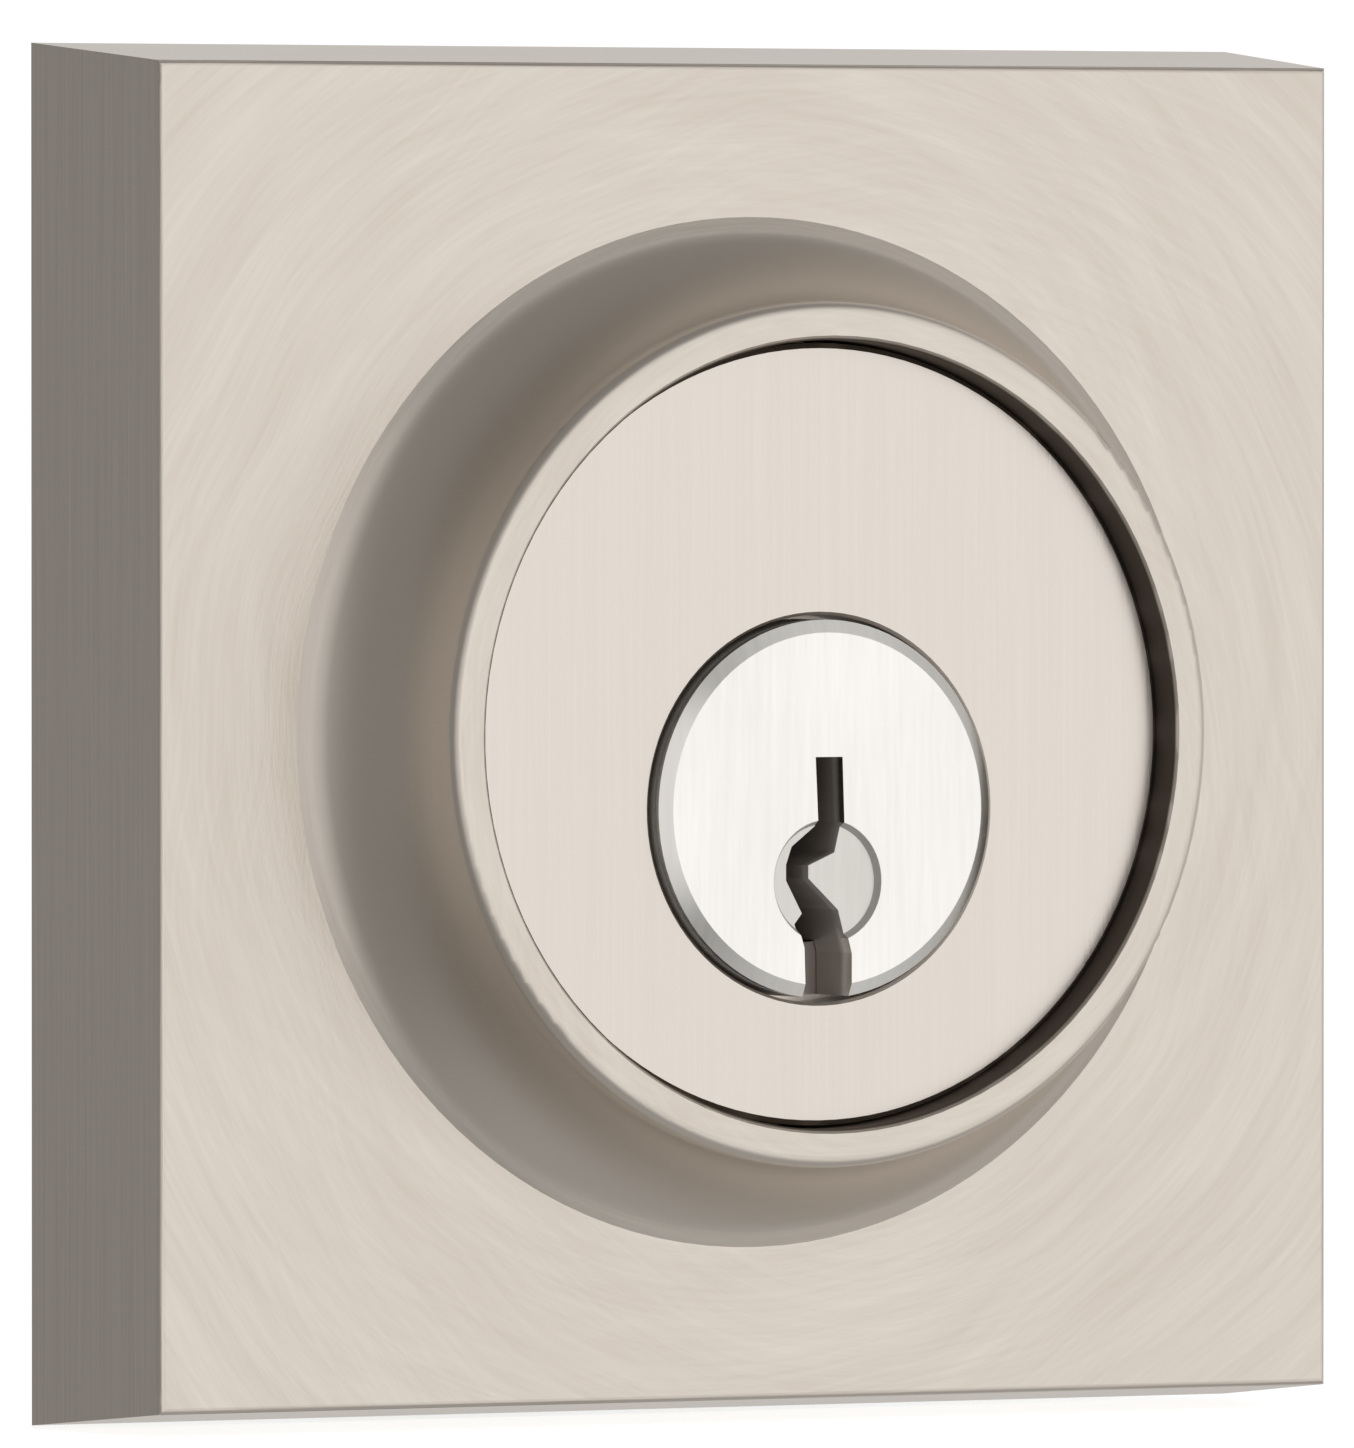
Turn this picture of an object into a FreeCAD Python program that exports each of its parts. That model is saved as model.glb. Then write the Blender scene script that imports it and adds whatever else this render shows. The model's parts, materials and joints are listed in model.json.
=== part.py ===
"""Square deadbolt door lock, as it sits in a door: outside rose and keyed cylinder, bolt, inside turn.

Frame, in millimetres: +Z up, +X towards the door's edge, +Y from outside to inside.
The origin is the centre of the door's cross bore, in the plane of the door's outside face.
Plug, tailpiece, cam and turn share an axis RISE below it. Shapes are drawn about that axis, then lowered.
Rest is the unlocked state: bolt drawn in, keyway upright, thumb turn upright, pins at the shear line.
"""

import math
import os

import FreeCAD
import Part

V = FreeCAD.Vector

# ---- driving dimensions -------------------------------------------------------------------------
# door preparation
DOOR_THICK = 44.45
BACKSET = 60.3
CROSS_BORE_R = 27.0
EDGE_BORE_R = 12.7
RISE = 3.5

# roses: square shells with drafted sides
ROSE_W = 65.0
ROSE_DRAFT = 0.95
ROSE_DEPTH = 11.2
ROSE_WALL = 2.2
ROSE_FACE_T = 1.8
ROSE_CORNER_BACK = 1.6
ROSE_CORNER_FRONT = 0.5
ROSE_EDGE = 0.3
GASKET_T = 2.0
GASKET_PROUD = 0.6
GASKET_CORNER = 3.2

# outside collar, round the cylinder head
COLLAR_BASE_R = 24.0
COLLAR_RIM_R = 20.35
COLLAR_H = 8.0
COLLAR_EDGE = 0.55
BORE_CHAMFER = 0.2
ROOT_FILLET = 1.0
HEAD_R = 18.4
HEAD_GAP = 0.15
HEAD_RECESS = 1.45
HEAD_T = 5.5
LEDGE_T = 3.0
HEAD_CHAMFER = 0.25
DRILL_PIN_R = 1.2
DRILL_PIN_REACH = 7.0
DRILL_PIN_FROM_PLUG = 2.4
DRILL_PIN_DEPTH = 1.6
HEAD_SKIN = 1.0

# cylinder body and plug
BODY_R = 15.0
BODY_GAP = 0.15
BODY_END_Y = 9.5
PLUG_R = 6.35
PLUG_GAP = 0.05
PLUG_HEAD_R = 8.9
PLUG_HEAD_GAP = 0.22
PLUG_HEAD_T = 2.6
PLUG_PROUD = 0.8
PLUG_BEVEL = 0.6
PLUG_BEVEL_DEPTH = 0.33
KEYWAY_TOP = 2.45
DIMPLE_R = 2.9
DIMPLE_DEPTH = 0.35
DIMPLE_Z = -3.4

# pin stacks
PIN_COUNT = 5
PIN_PITCH = 3.96
PIN_FIRST_Y = -9.2
PIN_R = 1.45
CHAMBER_GAP = 0.06
KEY_PIN_LENGTHS = [4.2, 5.0, 5.7, 4.6, 5.4]
PIN_FLOOR_Z = -0.8
DRIVER_LEN = 4.6
CHAMBER_TOP_Z = 16.0
CAP_T = 1.2
SPRING_R = 1.25
SPRING_WIRE_R = 0.16
SPRING_TURNS = 7
KEY_PIN_TIP = 1.0
DRIVER_CHAMFER = 0.2
CAP_GAP = 0.03

# fits shared by pressed, threaded and staked pieces
PRESS_GAP = 0.02

# cylinder yoke: the flange that the through screws pull on
YOKE_T = 3.0
SPIGOT_R = 26.7
SPIGOT_WALL = 1.6
SPIGOT_LEN = 4.0
POST_R = 3.4
POST_LEN = 6.0
SCREW_R = 2.05
SCREW_GAP = 0.2
SCREW_Z = 23.0
CIRCLIP_T = 1.0
CIRCLIP_DEPTH = 1.0
CIRCLIP_WIDTH = 2.2

# tailpiece
TAIL_W = 5.6
TAIL_T = 2.0
TAIL_GAP = 0.12
TAIL_HEAD_W = 7.6
TAIL_HEAD_T = 1.0
RECESS_GAP = 0.3
DRIVER_T = 2.4
DRIVER_R = 5.9
DRIVER_SPIGOT_R = 3.4
DRIVER_SPIGOT_H = 0.8
LOST_MOTION = 90.0
RETAINER_T = 0.5
PLUG_CLIP_T = 0.8
CLIP_SIDE_GAP = 0.05
PLUG_GROOVE = 0.7

# bolt
BOLT_THROW = 25.4
BOLT_H = 19.8
BOLT_W = 14.2
BOLT_CORNER = 2.4
BOLT_REAR_X = 28.0
SHOE_T = 3.1
SHOE_GAP = 0.07
TUBE_WALL = 0.7
TUBE_GAP = 0.15
TUBE_REAR_X = 23.0
COLLAR_PLATE_T = 4.0
HARD_PIN_R = 2.6
HARD_PIN_INSET = 7.0
HARD_PIN_COVER = 1.5
NOSE_FILLET = 0.6

# crank and bolt bar
CRANK_T = 2.6
CRANK_PIN_R = 2.8
CRANK_SLACK = 0.88
WEB_W = 4.4
HUB_R = 5.2
JOURNAL_R = 4.4
HUB_GAP = 0.06
BAR_T = 2.4
BAR_Z0 = 6.6
BAR_Z1 = 11.2
BAR_LEG = 2.0
BAR_FOOT = 3.6
BAR_TONGUE = 7.0
FORK_TOP_Z = 15.9
LAYER_GAP = 0.35
BAR_RIVET_R = 0.75
BAR_RIVET_HALF = 5.0

# bolt case
CASE_W = 15.0
CASE_T = 1.1
CASE_REAR_X = -20.0
FLANGE_W = 5.0
SPRING_LEAF_T = 0.5
CASE_CORNER = 3.0
CASE_RIVET_R = 1.1

# faceplate
FACE_W = 25.4
FACE_H = 57.15
FACE_T = 2.2
FACE_CORNER = 6.35
BACK_T = 1.2
FACE_HOLE_SPACING = 41.3
WOOD_SCREW_R = 2.1
WOOD_SCREW_HEAD_R = 4.1
WOOD_SCREW_LEN = 19.0
WOOD_SCREW_TIP = 4.0
SINK_GAP = 0.12
CROSS_W = 0.8

# inside half
PLATE_R = 29.4
PLATE_T = 2.0
INSIDE_COLLAR_R = 15.0
INSIDE_COLLAR_H = 2.2
SPINDLE_R = 6.5
SPINDLE_GAP = 0.08
SPINDLE_FLANGE_R = 8.6
TURN_DISC_R = 12.0
TURN_DISC_T = 3.0
TURN_LEN = 38.0
TURN_THICK = 8.0
TURN_H = 15.0
TURN_EDGE = 1.6
TURN_GAP = 0.35
TURN_FOOT_GAP = 0.1
STUB_R = 3.0
SCREW_HEAD_R = 3.8
SCREW_HEAD_H = 2.4
SET_SCREW_LEN = 4.0
SET_SCREW_R = 1.5
SET_SCREW_INSET = 0.8
SET_SCREW_BACK = 3.4
SPINDLE_TAIL = 2.6
TURN_CLIP_T = 0.9
SPINDLE_SETBACK = 3.0
SLEEVE_SETBACK = 3.4
TAIL_END_GAP = 0.1
TAIL_SETBACK = 1.0
STUB_LEN = 6.0

# ---- derived places -----------------------------------------------------------------------------
ROSE_BACK_Y = -GASKET_PROUD
ROSE_FRONT_Y = ROSE_BACK_Y - ROSE_DEPTH
RIM_Y = ROSE_FRONT_Y - COLLAR_H
HEAD_FACE_Y = RIM_Y + HEAD_RECESS
HEAD_BACK_Y = HEAD_FACE_Y + HEAD_T
LEDGE_BACK_Y = HEAD_BACK_Y + LEDGE_T
PLUG_FACE_Y = HEAD_FACE_Y - PLUG_PROUD
PLUG_STEP_Y = PLUG_FACE_Y + PLUG_HEAD_T + PLUG_PROUD
CLIP_Y = BODY_END_Y + 0.1
DRIVER_Y = CLIP_Y + PLUG_CLIP_T + 0.1
TAIL_HEAD_Y = DRIVER_Y + DRIVER_T - TAIL_HEAD_T - RECESS_GAP
SHEAR_Z = PLUG_R + PLUG_GAP
KEY_PIN_TOP_Z = math.sqrt(PLUG_R**2 - PIN_R**2) - 0.04
DRIVER_BOTTOM_Z = SHEAR_Z + 0.02
CHAMBER_R = PIN_R + CHAMBER_GAP
PIN_YS = [PIN_FIRST_Y + i * PIN_PITCH for i in range(PIN_COUNT)]
YOKE_FRONT_Y = ROSE_BACK_Y - YOKE_T - 0.4
YOKE_BACK_Y = YOKE_FRONT_Y + YOKE_T
BOLT_Y = DOOR_THICK / 2
TUBE_R = EDGE_BORE_R - 0.1
TUBE_INNER_R = TUBE_R - TUBE_WALL
CRANK_L = BOLT_THROW / math.sqrt(2)
CRANK_END = BOLT_THROW / 2
CASE_HALF = CASE_W / 2 + CASE_T
CASE_H = math.sqrt(EDGE_BORE_R**2 - CASE_HALF**2) - 0.05
CASE_Z0 = RISE - CASE_H
CASE_Z1 = RISE + CASE_H
CRANK_Y0 = BOLT_Y + LAYER_GAP / 2 + 0.6
BAR_Y1 = CRANK_Y0 - LAYER_GAP
BAR_Y0 = BAR_Y1 - BAR_T
INSIDE_FACE_Y = DOOR_THICK
PLATE_BACK_Y = INSIDE_FACE_Y + PLATE_T
INSIDE_FRONT_Y = INSIDE_FACE_Y + ROSE_DEPTH
INSIDE_RIM_Y = INSIDE_FRONT_Y + INSIDE_COLLAR_H
TURN_BACK_Y = INSIDE_RIM_Y + TURN_GAP
FACE_X0 = BACKSET - FACE_T
SCREW_TIP_Y = YOKE_BACK_Y + 1.6


# ---- small tools --------------------------------------------------------------------------------
def box(x0, x1, y0, y1, z0, z1):
    return Part.makeBox(x1 - x0, y1 - y0, z1 - z0, V(x0, y0, z0))


def rod(r, y0, y1, x=0.0, z=0.0):
    return Part.makeCylinder(r, y1 - y0, V(x, y0, z), V(0, 1, 0))


def rod_x(r, x0, x1, y, z=RISE):
    return Part.makeCylinder(r, x1 - x0, V(x0, y, z), V(1, 0, 0))


def rod_z(r, z0, z1, x=0.0, y=0.0):
    return Part.makeCylinder(r, z1 - z0, V(x, y, z0), V(0, 0, 1))


def cone(r0, r1, y0, y1, x=0.0, z=0.0):
    return Part.makeCone(r0, r1, y1 - y0, V(x, y0, z), V(0, 1, 0))


def tube(r_out, r_in, y0, y1, x=0.0, z=0.0):
    return rod(r_out, y0, y1, x, z).cut(rod(r_in, y0, y1, x, z))


def prism_y(points, y0, y1):
    """Polygon of (x, z) points, swept along Y."""
    wire = Part.makePolygon([V(x, y0, z) for x, z in points + points[:1]])
    return Part.Face(wire).extrude(V(0, y1 - y0, 0))


def turned(edges, z):
    """Closed profile of (radius, y) edges, turned about the Y line at height z."""
    face = Part.Face(Part.Wire(edges))
    face.translate(V(0, 0, z))
    return face.revolve(V(0, 0, z), V(0, 1, 0), 360)


def line(a, b):
    return Part.LineSegment(V(a[0], a[1], 0), V(b[0], b[1], 0)).toShape()


def arc(a, m, b):
    return Part.Arc(V(a[0], a[1], 0), V(m[0], m[1], 0), V(b[0], b[1], 0)).toShape()


def edges_where(shape, test):
    return [e for e in shape.Edges if test(e)]


def circles_at(shape, radius, y):
    """Round edges of one radius that lie at one depth."""
    level = edges_where(shape, lambda e: abs(e.BoundBox.YMin - y) < 1e-3 and e.BoundBox.YLength < 1e-3)
    return [e for e in level if e.Curve.TypeId == "Part::GeomCircle" and abs(e.Curve.Radius - radius) < 1e-3]


def along_x_rounded(x0, x1, w, h, r, y, z=RISE):
    """Bar along X of width w (Y) and height h (Z) with its four long edges rounded."""
    bar = box(x0, x1, y - w / 2, y + w / 2, z - h / 2, z + h / 2)
    long_edges = edges_where(bar, lambda e: abs(e.BoundBox.XLength - (x1 - x0)) < 1e-6)
    return bar.makeFillet(r, long_edges)


def one_solid(shape):
    shape = shape.removeSplitter()
    return shape.Solids[0] if len(shape.Solids) == 1 else Part.makeCompound(shape.Solids)


def save(name, shape):
    shape = one_solid(shape)
    shape.translate(V(0, 0, -RISE))
    if not shape.isValid():
        raise ValueError(name + " is not a valid shape")
    shape.exportStep("parts/" + name + ".step")


# ---- roses --------------------------------------------------------------------------------------
def drafted_block(width, inset, y_back, y_front, z):
    """Square block whose front face is smaller than its back by inset on every side."""
    corners = []
    for y, half in ((y_back, width / 2), (y_front, width / 2 - inset)):
        square = [(-half, -half), (half, -half), (half, half), (-half, half), (-half, -half)]
        corners.append(Part.makePolygon([V(a, y, b + z) for a, b in square]))
    return Part.makeLoft(corners, True, True)


def soften_block(block, y_back, y_front):
    """Rounds the slanting corners, wider at the back, and breaks the edges of the front face."""
    depth = abs(y_front - y_back)
    for index in range(4):
        slanted = edges_where(block, lambda e: len(e.Vertexes) == 2 and e.BoundBox.YLength > 0.9 * depth
                              and e.Curve.TypeId == "Part::GeomLine"
                              and abs(e.BoundBox.XLength - e.BoundBox.ZLength) < 1e-3)
        if not slanted:
            break
        edge = slanted[0]
        starts_at_back = abs(edge.Vertexes[0].Point.y - y_back) < 1e-3
        radii = (ROSE_CORNER_BACK, ROSE_CORNER_FRONT)
        first, last = radii if starts_at_back else radii[::-1]
        block = block.makeFillet(first, last, [edge])
    front = edges_where(block, lambda e: e.BoundBox.YLength < 1e-4 and abs(e.BoundBox.YMin - y_front) < 1e-3)
    return block.makeFillet(ROSE_EDGE, front)


def rose_shell(y_back, y_front, z):
    side = 1 if y_front > y_back else -1
    block = soften_block(drafted_block(ROSE_W, ROSE_DRAFT, y_back, y_front, z), y_back, y_front)
    inner_front = y_front - side * ROSE_FACE_T
    share = abs(inner_front - y_back) / ROSE_DEPTH
    hollow = drafted_block(ROSE_W - 2 * ROSE_WALL, ROSE_DRAFT * share, y_back, inner_front, z)
    return block.cut(hollow)


def collar_profile(base_r, rim_r, bore_r, root_y, base_y, rim_y, edge):
    """Half section of a flared collar: a hollow cove from the rose face up to a rounded flat rim."""
    side = 1 if rim_y > base_y else -1
    height = abs(rim_y - base_y) - edge
    flare = base_r - rim_r
    cove = (flare**2 + height**2) / (2 * flare)
    sweep = math.asin(height / cove) / 2
    top_y = rim_y - side * edge
    middle = (rim_r + cove - cove * math.cos(sweep), top_y - side * cove * math.sin(sweep))
    soft = edge * (1 - math.sqrt(0.5))
    return [
        line((bore_r, root_y), (base_r, root_y)),
        line((base_r, root_y), (base_r, base_y)),
        arc((base_r, base_y), middle, (rim_r, top_y)),
        arc((rim_r, top_y), (rim_r - soft, rim_y - side * soft), (rim_r - edge, rim_y)),
        line((rim_r - edge, rim_y), (bore_r + BORE_CHAMFER, rim_y)),
        line((bore_r + BORE_CHAMFER, rim_y), (bore_r, rim_y - side * BORE_CHAMFER)),
        line((bore_r, rim_y - side * BORE_CHAMFER), (bore_r, root_y)),
    ]


def outside_rose():
    bore = HEAD_R + HEAD_GAP
    shell = rose_shell(ROSE_BACK_Y, ROSE_FRONT_Y, RISE)
    inner_face = ROSE_FRONT_Y + ROSE_FACE_T
    shell = shell.cut(rod(bore, RIM_Y, ROSE_BACK_Y, z=RISE))
    profile = collar_profile(COLLAR_BASE_R, COLLAR_RIM_R, bore, inner_face, ROSE_FRONT_Y, RIM_Y, COLLAR_EDGE)
    ledge = tube(COLLAR_RIM_R, BODY_R + BODY_GAP, HEAD_BACK_Y, LEDGE_BACK_Y, z=RISE)
    rose = shell.fuse([turned(profile, RISE), ledge]).removeSplitter()
    return rose.makeFillet(ROOT_FILLET, circles_at(rose, COLLAR_BASE_R, ROSE_FRONT_Y))


def outside_gasket():
    """Rubber seal seated inside the walls of the rose, standing a little proud of them."""
    width = ROSE_W - 2 * ROSE_WALL
    seated = GASKET_T - GASKET_PROUD
    inset = ROSE_DRAFT * seated / ROSE_DEPTH
    pad = drafted_block(width, inset, ROSE_BACK_Y, ROSE_BACK_Y - seated, RISE)
    pad = pad.fuse(box(-width / 2, width / 2, ROSE_BACK_Y, 0, RISE - width / 2, RISE + width / 2))
    middle = width / 2 - inset - GASKET_CORNER
    keep = box(-width, width, ROSE_BACK_Y - seated, 0, RISE - middle, RISE + middle)
    keep = keep.fuse(box(-middle, middle, ROSE_BACK_Y - seated, 0, RISE - width, RISE + width))
    for x in (-middle, middle):
        for z in (RISE - middle, RISE + middle):
            keep = keep.fuse(rod(GASKET_CORNER, ROSE_BACK_Y - seated, 0, x, z))
    pad = pad.common(keep)
    return pad.cut(rod(CROSS_BORE_R, ROSE_BACK_Y - seated, 0, z=RISE))


# ---- keyed cylinder -----------------------------------------------------------------------------
def keyway_outline():
    """Warded keyway: straight at the top, one jog to the left, then wide and open at the foot."""
    foot = -PLUG_HEAD_R - 1.0
    left = [(-0.65, KEYWAY_TOP), (-0.5, -0.8), (-1.75, -1.75), (-2.05, -2.6), (-2.05, -3.35), (-1.2, -4.9),
            (-1.6, -5.4), (-1.25, -6.5), (-1.15, foot)]
    right = [(1.3, foot), (1.3, -6.8), (0.75, -4.75), (-0.85, -3.25), (-0.85, -2.65), (0.55, -2.05),
             (0.9, -0.6), (0.8, KEYWAY_TOP)]
    return left + right


def pin_chamber(y, z0, z1):
    return rod_z(CHAMBER_R, z0, z1, 0, y)


def plug():
    bevel_y = PLUG_FACE_Y + PLUG_BEVEL_DEPTH
    bevel = cone(PLUG_HEAD_R - PLUG_BEVEL, PLUG_HEAD_R, PLUG_FACE_Y, bevel_y)
    head = bevel.fuse(rod(PLUG_HEAD_R, bevel_y, PLUG_STEP_Y))
    spigot = rod(DRIVER_SPIGOT_R, DRIVER_Y, DRIVER_Y + DRIVER_SPIGOT_H)
    body = head.fuse([rod(PLUG_R, PLUG_STEP_Y, DRIVER_Y), spigot])
    groove = tube(PLUG_R + 1, PLUG_R - PLUG_GROOVE, CLIP_Y, CLIP_Y + PLUG_CLIP_T)
    dimple_floor = PLUG_FACE_Y + DIMPLE_DEPTH
    dimple = cone(DIMPLE_R, DIMPLE_R - 0.6 * DIMPLE_DEPTH, PLUG_FACE_Y, dimple_floor, z=DIMPLE_Z)
    cuts = [prism_y(keyway_outline(), PLUG_FACE_Y - 1, CLIP_Y - 0.3), groove, dimple]
    cuts += [pin_chamber(y, PIN_FLOOR_Z, PLUG_R + 1) for y in PIN_YS]
    return body.cut(cuts)


def chamber_slot():
    """Slot along the top of the body that the spring cover is staked into."""
    half = CHAMBER_R + 0.4
    y0 = PIN_YS[0] - half - 0.6
    y1 = PIN_YS[-1] + half + 0.4
    return (-half, half, y0, y1)


def cylinder_body():
    head = rod(HEAD_R, HEAD_FACE_Y, HEAD_BACK_Y, z=RISE)
    face = edges_where(head, lambda e: abs(e.BoundBox.YMax - HEAD_FACE_Y) < 1e-6)
    body = head.makeChamfer(HEAD_CHAMFER, face).fuse(rod(BODY_R, HEAD_BACK_Y, BODY_END_Y, z=RISE))
    x0, x1, y0, y1 = chamber_slot()
    seat_r = PLUG_HEAD_R + PLUG_HEAD_GAP
    cuts = [
        rod(seat_r, HEAD_FACE_Y - 1, PLUG_STEP_Y + PLUG_GAP),
        cone(seat_r + 0.15, seat_r, HEAD_FACE_Y, HEAD_FACE_Y + 0.15),
        rod(PLUG_R + PLUG_GAP, PLUG_STEP_Y, BODY_END_Y),
        box(x0, x1, y0, y1, CHAMBER_TOP_Z, RISE + HEAD_R + 1),
        circlip_groove(),
    ]
    cuts += [pin_chamber(y, 0, CHAMBER_TOP_Z + 1) for y in PIN_YS]
    cuts += drill_pin_solids(0.0)
    return body.cut(cuts)


def drill_pin_solids(shrink):
    """Hardened rods that stop a drill, pressed into the head beside the plug."""
    out = PLUG_HEAD_R + DRILL_PIN_FROM_PLUG
    in_head = math.sqrt((HEAD_R - HEAD_SKIN) ** 2 - (out + DRILL_PIN_R) ** 2)
    reach = min(DRILL_PIN_REACH, in_head)
    y = HEAD_BACK_Y - DRILL_PIN_DEPTH
    return [rod_z(DRILL_PIN_R - shrink, RISE - reach, RISE + reach, x, y) for x in (-out, out)]


def circlip_groove():
    y0 = YOKE_BACK_Y + CLIP_SIDE_GAP
    return tube(BODY_R + 1, BODY_R - CIRCLIP_DEPTH, y0, y0 + CIRCLIP_T + 2 * CLIP_SIDE_GAP, z=RISE)


def yoke_circlip():
    y0 = YOKE_BACK_Y + 2 * CLIP_SIDE_GAP
    inner = BODY_R - CIRCLIP_DEPTH + PRESS_GAP
    ring = tube(inner + CIRCLIP_WIDTH, inner, y0, y0 + CIRCLIP_T, z=RISE)
    half_gap = CHAMBER_R + 1.6
    return ring.cut(box(-half_gap, half_gap, y0, y0 + CIRCLIP_T, RISE, RISE + BODY_R + 5))


def screw_heights():
    return (RISE - SCREW_Z, RISE + SCREW_Z)


def cylinder_yoke():
    """Die-cast flange behind the rose: threaded posts for the through screws, spigot for the door's bore."""
    plate = rod(SPIGOT_R, YOKE_FRONT_Y, YOKE_BACK_Y, z=RISE)
    solids = [tube(SPIGOT_R, SPIGOT_R - SPIGOT_WALL, YOKE_BACK_Y, SPIGOT_LEN, z=RISE)]
    threads = []
    for z in screw_heights():
        solids.append(rod(POST_R, YOKE_BACK_Y, YOKE_BACK_Y + POST_LEN, z=z))
        threads.append(rod(SCREW_R + PRESS_GAP, YOKE_FRONT_Y, YOKE_BACK_Y + POST_LEN, z=z))
    body_hole = rod(BODY_R + BODY_GAP, YOKE_FRONT_Y, BODY_END_Y, z=RISE)
    clip_room = rod(BODY_R + 2.2, YOKE_BACK_Y, BODY_END_Y, z=RISE)
    return plate.fuse(solids).cut([body_hole, clip_room] + threads)


def chamber_cap():
    x0, x1, y0, y1 = chamber_slot()
    gap = CAP_GAP
    return box(x0 + gap, x1 - gap, y0 + gap, y1 - gap, CHAMBER_TOP_Z, CHAMBER_TOP_Z + CAP_T)


def key_pin(i):
    """Bottom pin with a blunt cone at its foot."""
    top = KEY_PIN_TOP_Z
    length = KEY_PIN_LENGTHS[i]
    shank = rod_z(PIN_R, top - length + KEY_PIN_TIP, top, 0, PIN_YS[i])
    point = Part.makeCone(PIN_R * 0.3, PIN_R, KEY_PIN_TIP, V(0, PIN_YS[i], top - length), V(0, 0, 1))
    return shank.fuse(point)


def driver_pin(i):
    y = PIN_YS[i]
    shank = rod_z(PIN_R, DRIVER_BOTTOM_Z, DRIVER_BOTTOM_Z + DRIVER_LEN, 0, y)
    ends = edges_where(shank, lambda e: e.BoundBox.ZLength < 1e-6)
    return shank.makeChamfer(DRIVER_CHAMFER, ends)


def pin_spring(i):
    """Coil spring between the driver pin and the spring cover."""
    y = PIN_YS[i]
    z0 = DRIVER_BOTTOM_Z + DRIVER_LEN + SPRING_WIRE_R + PRESS_GAP
    z1 = CHAMBER_TOP_Z - SPRING_WIRE_R - PRESS_GAP
    r = SPRING_R - SPRING_WIRE_R
    height = z1 - z0
    helix = Part.makeHelix(height / SPRING_TURNS, height, r)
    section = Part.Wire(Part.makeCircle(SPRING_WIRE_R, V(r, 0, 0), V(0, 1, 0)))
    coil = Part.Wire(helix).makePipeShell([section], True, True)
    coil.translate(V(0, y, z0))
    return coil


def drill_pins():
    return Part.makeCompound(drill_pin_solids(PRESS_GAP))


# ---- tailpiece ----------------------------------------------------------------------------------
def plug_clip():
    inner = PLUG_R - PLUG_GROOVE + CLIP_SIDE_GAP
    ring = tube(PLUG_R + 1.4, inner, CLIP_Y + CLIP_SIDE_GAP, CLIP_Y + PLUG_CLIP_T - CLIP_SIDE_GAP)
    return ring.cut(box(-2.4, 2.4, CLIP_Y, CLIP_Y + PLUG_CLIP_T, -PLUG_R - 2, 0))


def blade(y0, y1, gap=0.0):
    """The flat tailpiece, upright at rest, or the slot for it."""
    return box(-TAIL_T / 2 - gap, TAIL_T / 2 + gap, y0, y1, -TAIL_W / 2 - gap, TAIL_W / 2 + gap)


def tail_driver():
    """Cap on the back of the plug. Its bow-tie recess lets the tailpiece lag a quarter turn."""
    end = DRIVER_Y + DRIVER_T
    recess_y = TAIL_HEAD_Y - RECESS_GAP
    recess_r = TAIL_HEAD_W / 2 + RECESS_GAP
    half_t = TAIL_T / 2 + RECESS_GAP
    cap = rod(DRIVER_R, DRIVER_Y, end)
    cuts = [rod(DRIVER_SPIGOT_R + PRESS_GAP, DRIVER_Y, DRIVER_Y + DRIVER_SPIGOT_H)]
    upright = box(-half_t, half_t, recess_y, end, -recess_r, recess_r)
    cuts.append(upright.common(rod(recess_r, recess_y, end)))
    cuts.append(upright.rotated(V(0, 0, 0), V(0, 1, 0), LOST_MOTION))
    spread = LOST_MOTION + 2 * math.degrees(math.asin(half_t / (TAIL_HEAD_W / 2)))
    for start in (0, 180):
        lobe = Part.makeCylinder(recess_r, end - recess_y, V(0, recess_y, 0), V(0, 1, 0), spread)
        lobe.rotate(V(0, 0, 0), V(0, 1, 0), start + (LOST_MOTION - spread) / 2 + turn_to_upright())
        cuts.append(lobe)
    return cap.cut(cuts)


def turn_to_upright():
    """Angle that takes the start of a part cylinder about Y to straight up."""
    probe = Part.makeCylinder(1, 1, V(0, 0, 0), V(0, 1, 0), 1).CenterOfMass
    return -math.degrees(math.atan2(probe.x, probe.z))


def tail_retainer():
    """Thin ring staked to the driver that keeps the head of the tailpiece in its recess."""
    y0 = DRIVER_Y + DRIVER_T
    return tube(DRIVER_R - 0.5, TAIL_HEAD_W / 2 - 0.6, y0, y0 + RETAINER_T)


def tailpiece():
    half_w = TAIL_HEAD_W / 2
    head = box(-TAIL_T / 2, TAIL_T / 2, TAIL_HEAD_Y, TAIL_HEAD_Y + TAIL_HEAD_T, -half_w, half_w)
    return head.fuse(blade(TAIL_HEAD_Y, INSIDE_FRONT_Y - TAIL_SETBACK))


# ---- bolt ---------------------------------------------------------------------------------------
def bolt():
    body = along_x_rounded(BOLT_REAR_X, BACKSET, BOLT_W, BOLT_H, BOLT_CORNER, BOLT_Y)
    nose = edges_where(body, lambda e: abs(e.BoundBox.XMin - BACKSET) < 1e-6 and e.BoundBox.XLength < 1e-6)
    body = body.makeFillet(NOSE_FILLET, nose)
    shoe = rod_x(TUBE_INNER_R - SHOE_GAP, BOLT_REAR_X, BOLT_REAR_X + SHOE_T, BOLT_Y)
    return body.fuse(shoe).cut([hard_pin_solid(0.0), bar_tongue(PRESS_GAP)] + bar_rivet_solids(-PRESS_GAP))


def hard_pin_solid(shrink):
    x = BACKSET - HARD_PIN_INSET
    reach = BOLT_H / 2 - HARD_PIN_COVER - shrink
    return rod_z(HARD_PIN_R - shrink, RISE - reach, RISE + reach, x, BOLT_Y)


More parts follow.
